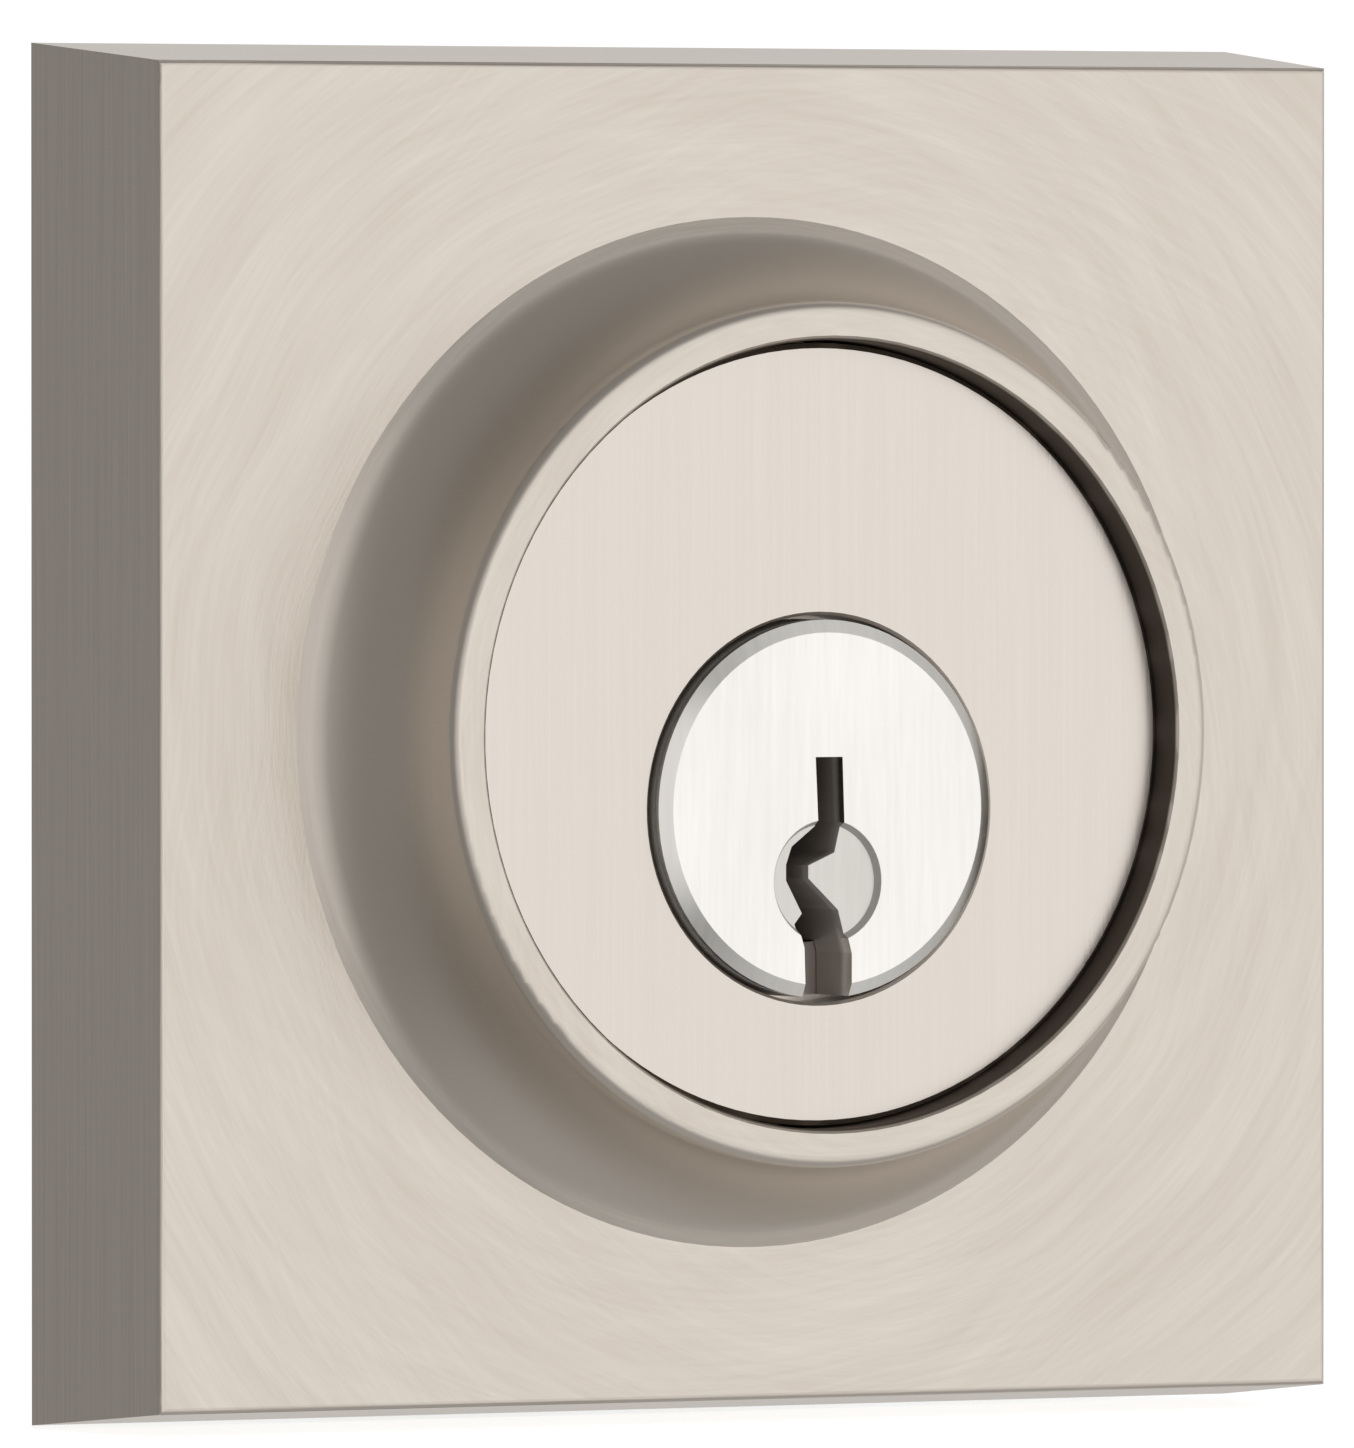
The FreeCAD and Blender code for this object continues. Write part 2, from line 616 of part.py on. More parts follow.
def bar_tongue(gap):
    end = BOLT_REAR_X + BAR_TONGUE + gap
    return box(BOLT_REAR_X - 1, end, BAR_Y0 - gap, BAR_Y1 + gap, BAR_Z0 - BAR_FOOT - gap, BAR_Z0 + gap)


def bar_rivet_solids(shrink):
    xs = (BOLT_REAR_X + 2.2, BOLT_REAR_X + 5.0)
    y0, y1 = BOLT_Y - BAR_RIVET_HALF, BOLT_Y + BAR_RIVET_HALF
    return [rod(BAR_RIVET_R - shrink, y0, y1, x, BAR_Z0 - BAR_FOOT / 2) for x in xs]


def bolt_bar():
    """Flat bar from the bolt to the crank, with an upright fork that the crank pin slides in."""
    slot_half = CRANK_PIN_R + CRANK_SLACK
    fork_half = slot_half + BAR_LEG
    fork_x = -CRANK_END
    front = BOLT_REAR_X - 0.6
    foot_z = BAR_Z0 - BAR_FOOT
    arm = box(fork_x - fork_half, front, BAR_Y0, BAR_Y1, BAR_Z0, BAR_Z1)
    fork = box(fork_x - fork_half, fork_x + fork_half, BAR_Y0, BAR_Y1, BAR_Z0, FORK_TOP_Z)
    drop = box(front - 4, front, BAR_Y0, BAR_Y1, foot_z, BAR_Z1)
    tongue = box(BOLT_REAR_X - 1, BOLT_REAR_X + BAR_TONGUE, BAR_Y0, BAR_Y1, foot_z, BAR_Z0)
    slot = box(fork_x - slot_half, fork_x + slot_half, BAR_Y0, BAR_Y1, CRANK_END, FORK_TOP_Z)
    slot_end = rod(slot_half, BAR_Y0, BAR_Y1, fork_x, CRANK_END)
    return arm.fuse([fork, drop, tongue]).cut([slot, slot_end] + bar_rivet_solids(-PRESS_GAP))


def bolt_cam():
    """Hub on the lock axis with the crank that drives the bolt bar."""
    hub_half = CASE_W / 2 - LAYER_GAP
    hub = rod(HUB_R, BOLT_Y - hub_half, BOLT_Y + hub_half)
    flats = box(-HUB_R + 0.5, HUB_R, BOLT_Y - hub_half, BAR_Y0, -HUB_R + 0.5, HUB_R)
    rest_of_hub = rod(HUB_R, BAR_Y0, BOLT_Y + hub_half)
    hub = hub.common(flats).fuse(rest_of_hub)
    journal = rod(JOURNAL_R, BOLT_Y - CASE_HALF, BOLT_Y + CASE_HALF)
    web = box(-WEB_W / 2, WEB_W / 2, CRANK_Y0, CRANK_Y0 + CRANK_T, 0, CRANK_L)
    web.rotate(V(0, 0, 0), V(0, 1, 0), -45)
    pin = rod(CRANK_PIN_R, BAR_Y0 - 0.5, CRANK_Y0 + CRANK_T, -CRANK_END, CRANK_END)
    return hub.fuse([journal, web, pin]).cut(blade(BOLT_Y - CASE_HALF, BOLT_Y + CASE_HALF, TAIL_GAP))


def case_plate(side):
    """Stamped side of the bolt case: side -1 is towards the outside, +1 towards the inside."""
    inner = BOLT_Y + side * CASE_W / 2
    outer = inner + side * CASE_T
    y0, y1 = min(inner, outer), max(inner, outer)
    plate = box(CASE_REAR_X, TUBE_REAR_X, y0, y1, CASE_Z0, CASE_Z1)
    across = edges_where(plate, lambda e: e.BoundBox.YLength > CASE_T / 2)
    rear = [e for e in across if abs(e.BoundBox.XMax - CASE_REAR_X) < 1e-6]
    plate = plate.makeFillet(CASE_CORNER, rear)
    fy0, fy1 = sorted((outer, inner - side * FLANGE_W))
    room = HUB_R + 1.2
    spans = ((CASE_REAR_X + CASE_CORNER, -room), (room, TUBE_REAR_X))
    flanges = [box(x0, x1, fy0, fy1, CASE_Z0, CASE_Z0 + CASE_T) for x0, x1 in spans]
    return plate.fuse(flanges).cut([rod(JOURNAL_R + HUB_GAP, y0, y1)] + case_rivet_solids(0.0))


def case_rivet_solids(shrink):
    y0 = BOLT_Y - CASE_HALF
    y1 = BOLT_Y + CASE_HALF
    places = ((CASE_REAR_X + 2.6, -1.0), (TUBE_REAR_X - 3.0, -2.6), (TUBE_REAR_X - 3.0, 2.6))
    return [rod(CASE_RIVET_R - shrink, y0, y1, x, z) for x, z in places]


def case_rivets():
    return Part.makeCompound(case_rivet_solids(PRESS_GAP))


def case_collar():
    """Round stop between case and tube, with a window that the bolt bar slides through."""
    disc = rod_x(TUBE_INNER_R - 0.05, TUBE_REAR_X, TUBE_REAR_X + COLLAR_PLATE_T, BOLT_Y)
    x1 = TUBE_REAR_X + COLLAR_PLATE_T
    z0 = BAR_Z0 - BAR_FOOT - 0.4
    return disc.cut(box(TUBE_REAR_X, x1, BAR_Y0 - 0.4, BAR_Y1 + 0.4, z0, BAR_Z1 + 0.4))


def bolt_tube():
    outer = rod_x(TUBE_R, TUBE_REAR_X, FACE_X0 - BACK_T, BOLT_Y)
    return outer.cut(rod_x(TUBE_INNER_R, TUBE_REAR_X, FACE_X0 - BACK_T, BOLT_Y))


def detent_spring():
    """Leaf behind the hub that steadies the crank at each end of its travel."""
    foot = CASE_Z0 + CASE_T
    t = SPRING_LEAF_T
    crown = -HUB_R - LAYER_GAP
    front = [(-14.0, foot), (-9.0, foot), (crown, -1.6), (crown, 1.6), (crown - 2.4, 5.0)]
    back = [(crown - 2.4 - t, 4.7), (crown - t, 1.5), (crown - t, -1.4), (-9.3, foot + t), (-14.0, foot + t)]
    return prism_y(front + back, BOLT_Y - CASE_W / 2 + 0.2, BAR_Y0 - LAYER_GAP)


def face_sheet(x0, x1, opening_w, opening_h, opening_corner):
    sheet = box(x0, x1, BOLT_Y - FACE_W / 2, BOLT_Y + FACE_W / 2, RISE - FACE_H / 2, RISE + FACE_H / 2)
    corners = edges_where(sheet, lambda e: e.BoundBox.XLength > (x1 - x0) / 2)
    sheet = sheet.makeFillet(FACE_CORNER, corners)
    opening = along_x_rounded(x0, x1, opening_w, opening_h, opening_corner, BOLT_Y)
    return sheet.cut(opening)


def wood_screw_places():
    return [RISE - FACE_HOLE_SPACING / 2, RISE + FACE_HOLE_SPACING / 2]


def faceplate():
    gap = TUBE_GAP
    plate = face_sheet(FACE_X0, BACKSET, BOLT_W + 2 * gap, BOLT_H + 2 * gap, BOLT_CORNER + gap)
    start = WOOD_SCREW_R + SINK_GAP
    end = WOOD_SCREW_HEAD_R + SINK_GAP
    places = [V(FACE_X0, BOLT_Y, z) for z in wood_screw_places()]
    return plate.cut([Part.makeCone(start, end, FACE_T, place, V(1, 0, 0)) for place in places])


def back_plate():
    gap = TUBE_GAP
    plate = face_sheet(FACE_X0 - BACK_T, FACE_X0, BOLT_W + 2 * gap, BOLT_H + 2 * gap, BOLT_CORNER + gap)
    holes = [rod_x(WOOD_SCREW_R + 0.3, FACE_X0 - BACK_T, FACE_X0, BOLT_Y, z) for z in wood_screw_places()]
    return plate.cut(holes)


def faceplate_screws():
    """Countersunk wood screws with a cross recess and a tapered tip."""
    screws = []
    for z in wood_screw_places():
        base = V(FACE_X0 + 0.05, BOLT_Y, z)
        head = Part.makeCone(WOOD_SCREW_R, WOOD_SCREW_HEAD_R - 0.05, FACE_T - 0.1, base, V(1, 0, 0))
        shank = rod_x(WOOD_SCREW_R, BACKSET - WOOD_SCREW_LEN + WOOD_SCREW_TIP, FACE_X0 + 0.05, BOLT_Y, z)
        tip_end = V(BACKSET - WOOD_SCREW_LEN, BOLT_Y, z)
        tip = Part.makeCone(0.2, WOOD_SCREW_R, WOOD_SCREW_TIP, tip_end, V(1, 0, 0))
        slot_y = box(BACKSET - 1.5, BACKSET, BOLT_Y - 2.0, BOLT_Y + 2.0, z - CROSS_W / 2, z + CROSS_W / 2)
        half = CROSS_W / 2
        slot_z = box(BACKSET - 1.5, BACKSET, BOLT_Y - half, BOLT_Y + half, z - 2.0, z + 2.0)
        screws.append(head.fuse([shank, tip]).cut([slot_y, slot_z]))
    return Part.makeCompound(screws)


# ---- inside half --------------------------------------------------------------------------------
def mounting_plate():
    """Steel disc that bears on the inside of the door and carries the turn."""
    plate = rod(PLATE_R, INSIDE_FACE_Y, PLATE_BACK_Y, z=RISE)
    sleeve_end = INSIDE_FRONT_Y - SLEEVE_SETBACK
    boss = rod(SPINDLE_R + 2.2, PLATE_BACK_Y, sleeve_end)
    holes = [rod(SPINDLE_R + SPINDLE_GAP, INSIDE_FACE_Y, sleeve_end)]
    holes += [rod(SCREW_R + SCREW_GAP, INSIDE_FACE_Y, PLATE_BACK_Y, z=z) for z in screw_heights()]
    return plate.fuse(boss).cut(holes)


def mounting_screws():
    """Through screws: pan heads on the mounting plate, ends in the posts of the yoke."""
    screws = []
    for z in screw_heights():
        under = PLATE_BACK_Y + PRESS_GAP
        end = under + SCREW_HEAD_H
        shank = rod(SCREW_R - PRESS_GAP, SCREW_TIP_Y, under, z=z)
        head = rod(SCREW_HEAD_R, under, end, z=z)
        top = edges_where(head, lambda e: e.BoundBox.YLength < 1e-6 and e.BoundBox.YMin > PLATE_BACK_Y + 1)
        head = head.makeFillet(1.0, top)
        slot_x = box(-2.2, 2.2, end - 1.3, end, z - CROSS_W / 2, z + CROSS_W / 2)
        slot_z = box(-CROSS_W / 2, CROSS_W / 2, end - 1.3, end, z - 2.2, z + 2.2)
        screws.append(shank.fuse(head).cut([slot_x, slot_z]))
    return Part.makeCompound(screws)


def inside_rose():
    bore = SPINDLE_FLANGE_R + 0.25
    shell = rose_shell(INSIDE_FACE_Y, INSIDE_FRONT_Y, RISE)
    inner_face = INSIDE_FRONT_Y - ROSE_FACE_T
    shell = shell.cut(rod(bore, INSIDE_FACE_Y, INSIDE_RIM_Y))
    rim_r = INSIDE_COLLAR_R - 1.2
    profile = collar_profile(INSIDE_COLLAR_R, rim_r, bore, inner_face, INSIDE_FRONT_Y, INSIDE_RIM_Y, 0.4)
    lug_z = RISE - ROSE_W / 2 + ROSE_WALL
    lug = box(-4, 4, PLATE_BACK_Y + 0.3, inner_face + 0.1, lug_z - 0.4, lug_z + 2.2)
    solid = shell.fuse([turned(profile, 0.0), lug])
    return solid.cut(set_screw_solid(-0.03))


def set_screw_solid(shrink):
    z0 = RISE - ROSE_W / 2 + SET_SCREW_INSET
    return rod_z(SET_SCREW_R - shrink, z0, z0 + SET_SCREW_LEN, 0, PLATE_BACK_Y + SET_SCREW_BACK)


def rose_set_screw():
    """Grub screw up through the lower side of the rose."""
    screw = set_screw_solid(0.0)
    z0 = RISE - ROSE_W / 2 + SET_SCREW_INSET
    return screw.cut(hex_prism(0.8, z0, z0 + 1.6, PLATE_BACK_Y + SET_SCREW_BACK))


def hex_prism(r, z0, z1, y):
    points = [V(r * math.cos(k * math.pi / 3), y + r * math.sin(k * math.pi / 3), z0) for k in range(7)]
    return Part.Face(Part.makePolygon(points)).extrude(V(0, 0, z1 - z0))


def turn_spindle():
    """Round spindle with a flange; the tailpiece slides into its slot."""
    y0 = INSIDE_FACE_Y - SPINDLE_TAIL
    step_y = INSIDE_FRONT_Y - SPINDLE_SETBACK
    foot_y = TURN_BACK_Y + TURN_FOOT_GAP
    shaft = rod(SPINDLE_R, y0, step_y)
    flange = rod(SPINDLE_FLANGE_R, step_y, foot_y)
    stub = rod(STUB_R, foot_y, TURN_BACK_Y + STUB_LEN)
    groove_y = clip_y() - CLIP_SIDE_GAP
    groove_end = groove_y + TURN_CLIP_T + 2 * CLIP_SIDE_GAP
    groove = tube(SPINDLE_R + 1, SPINDLE_R - TURN_CLIP_T, groove_y, groove_end)
    solid = shaft.fuse([flange, stub])
    return solid.cut([groove, blade(y0, INSIDE_FRONT_Y - TAIL_SETBACK + TAIL_END_GAP, TAIL_GAP)])


def clip_y():
    return INSIDE_FACE_Y - SPINDLE_TAIL + 0.85


def turn_clip():
    y0 = clip_y()
    y1 = y0 + TURN_CLIP_T
    ring = tube(SPINDLE_R + 1.9, SPINDLE_R - TURN_CLIP_T + CLIP_SIDE_GAP, y0, y1)
    return ring.cut(box(-2.6, 2.6, y0, y1, -SPINDLE_R - 3, 0))


def turn_washer():
    y0 = clip_y() + TURN_CLIP_T + 2 * CLIP_SIDE_GAP
    return tube(SPINDLE_R + 2.4, SPINDLE_R + 0.1, y0, INSIDE_FACE_Y - 0.05)


def thumb_turn():
    """Grip on a round foot, upright when the bolt is drawn in."""
    foot_end = TURN_BACK_Y + TURN_DISC_T
    foot = rod(TURN_DISC_R, TURN_BACK_Y + TURN_FOOT_GAP, foot_end)
    rim = edges_where(foot, lambda e: e.BoundBox.YLength < 1e-6 and e.BoundBox.YMin > foot_end - 1e-3)
    foot = foot.makeFillet(0.8, rim)
    half_t, half_l = TURN_THICK / 2, TURN_LEN / 2
    grip = box(-half_t, half_t, foot_end - 1.5, TURN_BACK_Y + TURN_H, -half_l, half_l)
    ends = edges_where(grip, lambda e: e.BoundBox.YLength > 2)
    grip = grip.makeFillet(half_t - 0.05, ends)
    faces = edges_where(grip, lambda e: e.BoundBox.YLength < 1e-4)
    grip = grip.makeFillet(TURN_EDGE / 2, faces)
    solid = foot.fuse(grip)
    return solid.cut(rod(STUB_R + PRESS_GAP, TURN_BACK_Y, TURN_BACK_Y + STUB_LEN))


# ---- write every node ---------------------------------------------------------------------------
def main():
    os.makedirs("parts", exist_ok=True)
    single = [
        outside_rose, outside_gasket, cylinder_body, cylinder_yoke, yoke_circlip, plug, chamber_cap,
        drill_pins, plug_clip, tail_driver, tail_retainer, tailpiece, bolt, bolt_bar, bolt_cam, case_collar,
        case_rivets, bolt_tube, detent_spring, faceplate, back_plate, faceplate_screws, mounting_plate,
        mounting_screws, inside_rose, rose_set_screw, turn_spindle, turn_clip, turn_washer, thumb_turn,
    ]
    for make in single:
        save(make.__name__, make())
    save("case_outer", case_plate(-1))
    save("case_inner", case_plate(1))
    save("bolt_hard_pin", hard_pin_solid(0.03))
    save("bar_rivets", Part.makeCompound(bar_rivet_solids(0.02)))
    for i in range(PIN_COUNT):
        for name, make in (("key_pin", key_pin), ("driver_pin", driver_pin), ("pin_spring", pin_spring)):
            save(f"{name}_{i + 1}", make(i))


if __name__ == "__main__":
    main()
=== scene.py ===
# %% [markdown]
# # A square deadbolt in satin nickel
# The lock comes in as an exact model: every metal piece has its true size and place. This lesson gives
# each piece its finish, cuts the screw threads that the exact model leaves out, and lights the lock as a
# small product in a white studio. All lengths are in metres.

# %% Load the lock
import json
import math

import bpy
from mathutils import Matrix, Vector


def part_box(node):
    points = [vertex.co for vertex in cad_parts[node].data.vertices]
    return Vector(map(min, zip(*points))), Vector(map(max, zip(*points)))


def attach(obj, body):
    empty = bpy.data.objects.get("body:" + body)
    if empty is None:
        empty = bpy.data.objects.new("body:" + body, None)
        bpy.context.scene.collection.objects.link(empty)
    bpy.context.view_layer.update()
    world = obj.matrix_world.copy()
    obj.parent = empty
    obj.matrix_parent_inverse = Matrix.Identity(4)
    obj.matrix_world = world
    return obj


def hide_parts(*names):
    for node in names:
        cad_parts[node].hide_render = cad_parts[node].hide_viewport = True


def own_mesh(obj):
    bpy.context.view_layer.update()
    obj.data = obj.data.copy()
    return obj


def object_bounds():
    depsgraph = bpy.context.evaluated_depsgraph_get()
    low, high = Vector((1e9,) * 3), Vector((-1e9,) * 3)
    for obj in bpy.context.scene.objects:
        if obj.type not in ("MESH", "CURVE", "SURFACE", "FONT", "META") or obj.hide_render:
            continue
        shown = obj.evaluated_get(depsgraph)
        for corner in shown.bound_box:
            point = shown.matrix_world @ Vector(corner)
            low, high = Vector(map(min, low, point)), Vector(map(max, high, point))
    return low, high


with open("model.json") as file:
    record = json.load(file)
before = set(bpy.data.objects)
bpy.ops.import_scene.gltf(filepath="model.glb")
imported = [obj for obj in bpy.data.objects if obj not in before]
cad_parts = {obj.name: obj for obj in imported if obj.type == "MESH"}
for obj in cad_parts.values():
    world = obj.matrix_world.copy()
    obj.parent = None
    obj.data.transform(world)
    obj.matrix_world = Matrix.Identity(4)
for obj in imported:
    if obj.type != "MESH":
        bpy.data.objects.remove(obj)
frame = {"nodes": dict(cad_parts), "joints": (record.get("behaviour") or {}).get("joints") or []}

nodes = frame["nodes"]
cad_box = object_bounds()
MM = 0.001
print("pieces in the lock:", len(nodes))

# %% [markdown]
# The collar is centred on the rose. The plug sits a little lower, on the axis that it shares with the
# tailpiece and the thumb turn. That axis and the plug's face are measured from the pieces, so the finishes
# can follow them. The radii and depths of the roses are the ones that their finishes change at.

# %% Find the places where a finish changes
spindle_low, spindle_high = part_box("turn_spindle")
PLUG_AXIS_Z = (spindle_low.z + spindle_high.z) / 2
PLUG_FACE_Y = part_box("plug")[0].y
COLLAR_ROOT, COLLAR_BORE = 24.0 * MM, 18.55 * MM
INSIDE_COLLAR_ROOT, INSIDE_COLLAR_BORE = 15.0 * MM, 6.58 * MM
ROSE_FRONT_Y = -11.8 * MM
FLARE_FOOT_Y = -12.0 * MM
ROSE_HALF_FACE = 31.0 * MM
print("plug axis below the rose's centre, mm:", round(-PLUG_AXIS_Z / MM, 2))

# %% [markdown]
# Every finish is a small network of nodes. These helpers add one node, set its plain values and wire the
# others, which keeps the recipes short enough to read.

# %% Helpers for finishes
def add(tree, kind, x=0, **settings):
    made = tree.nodes.new(kind)
    made.location = (x, -40 * len(tree.nodes))
    for name, value in settings.items():
        setattr(made, name, value)
    return made


def wire(tree, source, target, socket):
    tree.links.new(source, target.inputs[socket])


def math_step(tree, operation, first, second=0.0, third=None):
    """One Math node. Each value is a plain number or the output of another node."""
    step = add(tree, "ShaderNodeMath", operation=operation)
    for index, value in enumerate((first, second, third)):
        if value is None:
            continue
        if isinstance(value, (int, float)):
            step.inputs[index].default_value = value
        else:
            tree.links.new(value, step.inputs[index])
    return step.outputs[0]


def smooth_step(tree, value, low, high):
    """0 where value is at low, 1 where it is at high, and a soft change between."""
    step = add(tree, "ShaderNodeMapRange", interpolation_type="SMOOTHSTEP")
    step.inputs["From Min"].default_value = low
    step.inputs["From Max"].default_value = high
    wire(tree, value, step, "Value")
    return step.outputs["Result"]


def distance_from_axis(tree, x, z):
    squares = math_step(tree, "ADD", math_step(tree, "MULTIPLY", x, x), math_step(tree, "MULTIPLY", z, z))
    return math_step(tree, "SQRT", squares)


def new_group(name, inputs, outputs):
    group = bpy.data.node_groups.new(name, "ShaderNodeTree")
    for label, kind, value in inputs:
        socket = group.interface.new_socket(label, in_out="INPUT", socket_type=kind)
        if value is not None:
            socket.default_value = value
    for label, kind in outputs:
        group.interface.new_socket(label, in_out="OUTPUT", socket_type=kind)
    return group, add(group, "NodeGroupInput", -600), add(group, "NodeGroupOutput", 600)


# %% [markdown]
# Brushing is the mark of an abrasive belt or pad: thousands of fine scratches side by side, each much
# longer than it is wide. A noise pattern stretched along the stroke gives that. Two layers, one fine and
# one broad, give both the scratches and the soft bands where the pad pressed harder.

# %% Straight brushing
def straight_brushing_group():
    group, given, result = new_group(
        "Straight brushing",
        [("Vector", "NodeSocketVector", None), ("Across per metre", "NodeSocketVector", (1, 1, 1))],
        [("Scratches", "NodeSocketFloat"), ("Bands", "NodeSocketFloat")],
    )
    stretch = add(group, "ShaderNodeVectorMath", operation="MULTIPLY")
    wire(group, given.outputs["Vector"], stretch, 0)
    wire(group, given.outputs["Across per metre"], stretch, 1)
    for label, scale, detail in (("Scratches", 1.0, 5.0), ("Bands", 0.12, 3.0)):
        noise = add(group, "ShaderNodeTexNoise")
        noise.inputs["Scale"].default_value = scale
        noise.inputs["Detail"].default_value = detail
        noise.inputs["Roughness"].default_value = 0.65
        wire(group, stretch.outputs[0], noise, "Vector")
        wire(group, noise.outputs["Fac"], result, label)
    return group


straight_brushing = straight_brushing_group()
print("made", straight_brushing.name)

# %% [markdown]
# The rose was finished with a turning pad, so its strokes are long arcs about the collar. Each arc is a
# noise read in polar terms: distance from the middle across the stroke, angle along it. Two sets with
# their middles a few millimetres apart cross each other, as strokes from a hand-held pad do.

# %% Arc brushing
def arc_layer(group, vector, centre, across, along, warp):
    """Noise drawn out along circles about Y: many strokes per metre across them, few round them."""
    shifted = add(group, "ShaderNodeVectorMath", operation="SUBTRACT")
    wire(group, vector, shifted, 0)
    shifted.inputs[1].default_value = centre
    wobble = add(group, "ShaderNodeTexNoise")
    wobble.inputs["Scale"].default_value = 60.0
    wobble.inputs["Detail"].default_value = 1.0
    wire(group, shifted.outputs[0], wobble, "Vector")
    split = add(group, "ShaderNodeSeparateXYZ")
    wire(group, shifted.outputs[0], split, 0)
    x, y, z = split.outputs
    radius = math_step(group, "MULTIPLY_ADD", wobble.outputs["Fac"], warp, distance_from_axis(group, x, z))
    turn = math_step(group, "ARCTAN2", z, x)
    join = add(group, "ShaderNodeCombineXYZ")
    wire(group, math_step(group, "MULTIPLY", radius, across), join, "X")
    wire(group, math_step(group, "MULTIPLY", math_step(group, "COSINE", turn), along), join, "Y")
    wire(group, math_step(group, "MULTIPLY", math_step(group, "SINE", turn), along), join, "Z")
    noise = add(group, "ShaderNodeTexNoise")
    noise.inputs["Scale"].default_value = 1.0
    noise.inputs["Detail"].default_value = 4.0
    noise.inputs["Roughness"].default_value = 0.6
    wire(group, join.outputs[0], noise, "Vector")
    return noise.outputs["Fac"]


def arc_brushing_group():
    group, given, result = new_group(
        "Arc brushing",
        [("Vector", "NodeSocketVector", None)],
        [("Fine arcs", "NodeSocketFloat"), ("Broad arcs", "NodeSocketFloat")],
    )
    vector = given.outputs["Vector"]
    fine_a = arc_layer(group, vector, (0.0, 0.0, 0.0), 3600.0, 2.2, 0.004)
    fine_b = arc_layer(group, vector, (0.006, 0.0, -0.005), 2600.0, 2.6, 0.006)
    broad = arc_layer(group, vector, (-0.004, 0.0, 0.003), 520.0, 2.4, 0.006)
    fine = math_step(group, "MULTIPLY", math_step(group, "ADD", fine_a, fine_b), 0.5)
    wire(group, fine, result, "Fine arcs")
    wire(group, broad, result, "Broad arcs")
    return group


arc_brushing = arc_brushing_group()
print("made", arc_brushing.name)

# %% [markdown]
# Handling leaves a faint, cloudy film on nickel: slightly duller patches a centimetre across, and finer
# specks. The same group serves every metal in the lock, with its own strength in each.

# %% Handling marks
def handling_group():
    group, given, result = new_group(
        "Handling marks",
        [("Vector", "NodeSocketVector", None)],
        [("Clouds", "NodeSocketFloat"), ("Grain", "NodeSocketFloat")],
    )
    for label, scale, detail in (("Clouds", 90.0, 3.0), ("Grain", 2600.0, 2.0)):
        noise = add(group, "ShaderNodeTexNoise")
        noise.inputs["Scale"].default_value = scale
        noise.inputs["Detail"].default_value = detail
        wire(group, given.outputs["Vector"], noise, "Vector")
        wire(group, noise.outputs["Fac"], result, label)
    return group


handling_marks = handling_group()
print("made", handling_marks.name)

# %% [markdown]
# A metal material starts the same way each time: object coordinates, a Principled shader with its plain
# values on its own sockets, and a bump at the end. Each finish then mixes its marks into the colour, the
# roughness and the bump height.

# %% Start of a metal
def start_finish(name, metallic=1.0, specular=0.5):
    material = bpy.data.materials.new(name)
    material.use_nodes = True
    tree = material.node_tree
    shader = tree.nodes["Principled BSDF"]
    shader.inputs["Metallic"].default_value = metallic
    shader.inputs["Specular IOR Level"].default_value = specular
    coords = add(tree, "ShaderNodeTexCoord", -900)
    return material, tree, shader, coords


def use_group(tree, group, vector):
    made = add(tree, "ShaderNodeGroup")
    made.node_tree = group
    wire(tree, vector, made, "Vector")
    return made


def weigh(tree, parts, base):
    """base + sum of (value - 0.5) * weight."""
    total = base
    for value, weight in parts:
        centred = math_step(tree, "SUBTRACT", value, 0.5)
        total = math_step(tree, "MULTIPLY_ADD", centred, weight, total)
    return total


def tint(tree, shader, factor, dark, light):
    mix = add(tree, "ShaderNodeMix", data_type="RGBA")
    mix.inputs["A"].default_value = (*dark, 1.0)
    mix.inputs["B"].default_value = (*light, 1.0)
    tree.links.new(factor, mix.inputs["Factor"])
    tree.links.new(mix.outputs["Result"], shader.inputs["Base Color"])
    return mix


def relief(tree, shader, height, depth):
    bump = add(tree, "ShaderNodeBump")
    bump.inputs["Strength"].default_value = 1.0
    bump.inputs["Distance"].default_value = depth
    wire(tree, height, bump, "Height")
    wire(tree, bump.outputs["Normal"], shader, "Normal")
    return bump


ROUGH_SWING = 0.12


def brushed_metal(name, across, dark, light, rough, scratch_depth):
    """across: how many strokes fit in a metre along X, Y and Z; the smallest is the way the belt ran."""
    material, tree, shader, coords = start_finish(name)
    brushing = use_group(tree, straight_brushing, coords.outputs["Object"])
    brushing.inputs["Across per metre"].default_value = across
    marks = use_group(tree, handling_marks, coords.outputs["Object"])
    scratches, bands = brushing.outputs
    clouds, grain = marks.outputs
    tone = weigh(tree, [(scratches, 0.9), (bands, 0.5), (clouds, 0.25)], 0.5)
    tint(tree, shader, tone, dark, light)
    gloss = weigh(tree, [(scratches, ROUGH_SWING), (bands, 0.08), (clouds, 0.08)], rough)
    wire(tree, gloss, shader, "Roughness")
    relief(tree, shader, weigh(tree, [(scratches, 1.0), (grain, 0.15)], 0.5), scratch_depth)
    return material


# %% [markdown]
# The rose is one casting with three differently brushed zones. Its flat face and the collar's rim carry
# the arcs, its four sides are brushed upright or level, and the flare between face and rim is only
# polished with a soft wheel. The zones are told apart by the way the surface faces and by the distance
# from the collar's middle.

# %% Satin nickel for the roses
SATIN_DARK = (0.60, 0.545, 0.485)
SATIN_LIGHT = (0.74, 0.685, 0.625)
# Painted shade for the wall of the bore inside the collar.
BORE_PAINTED_SHADE = (0.17, 0.14, 0.115)
FLAT_FROM, FLAT_TO = 0.80, 0.97
SIDE_STROKES = (60.0, 5200.0, 60.0)
STROKE_TONE, SWIRL_TONE = 1.7, 1.3
SATIN_ROUGHNESS = 0.33
PAD_RELIEF = 0.020 * MM


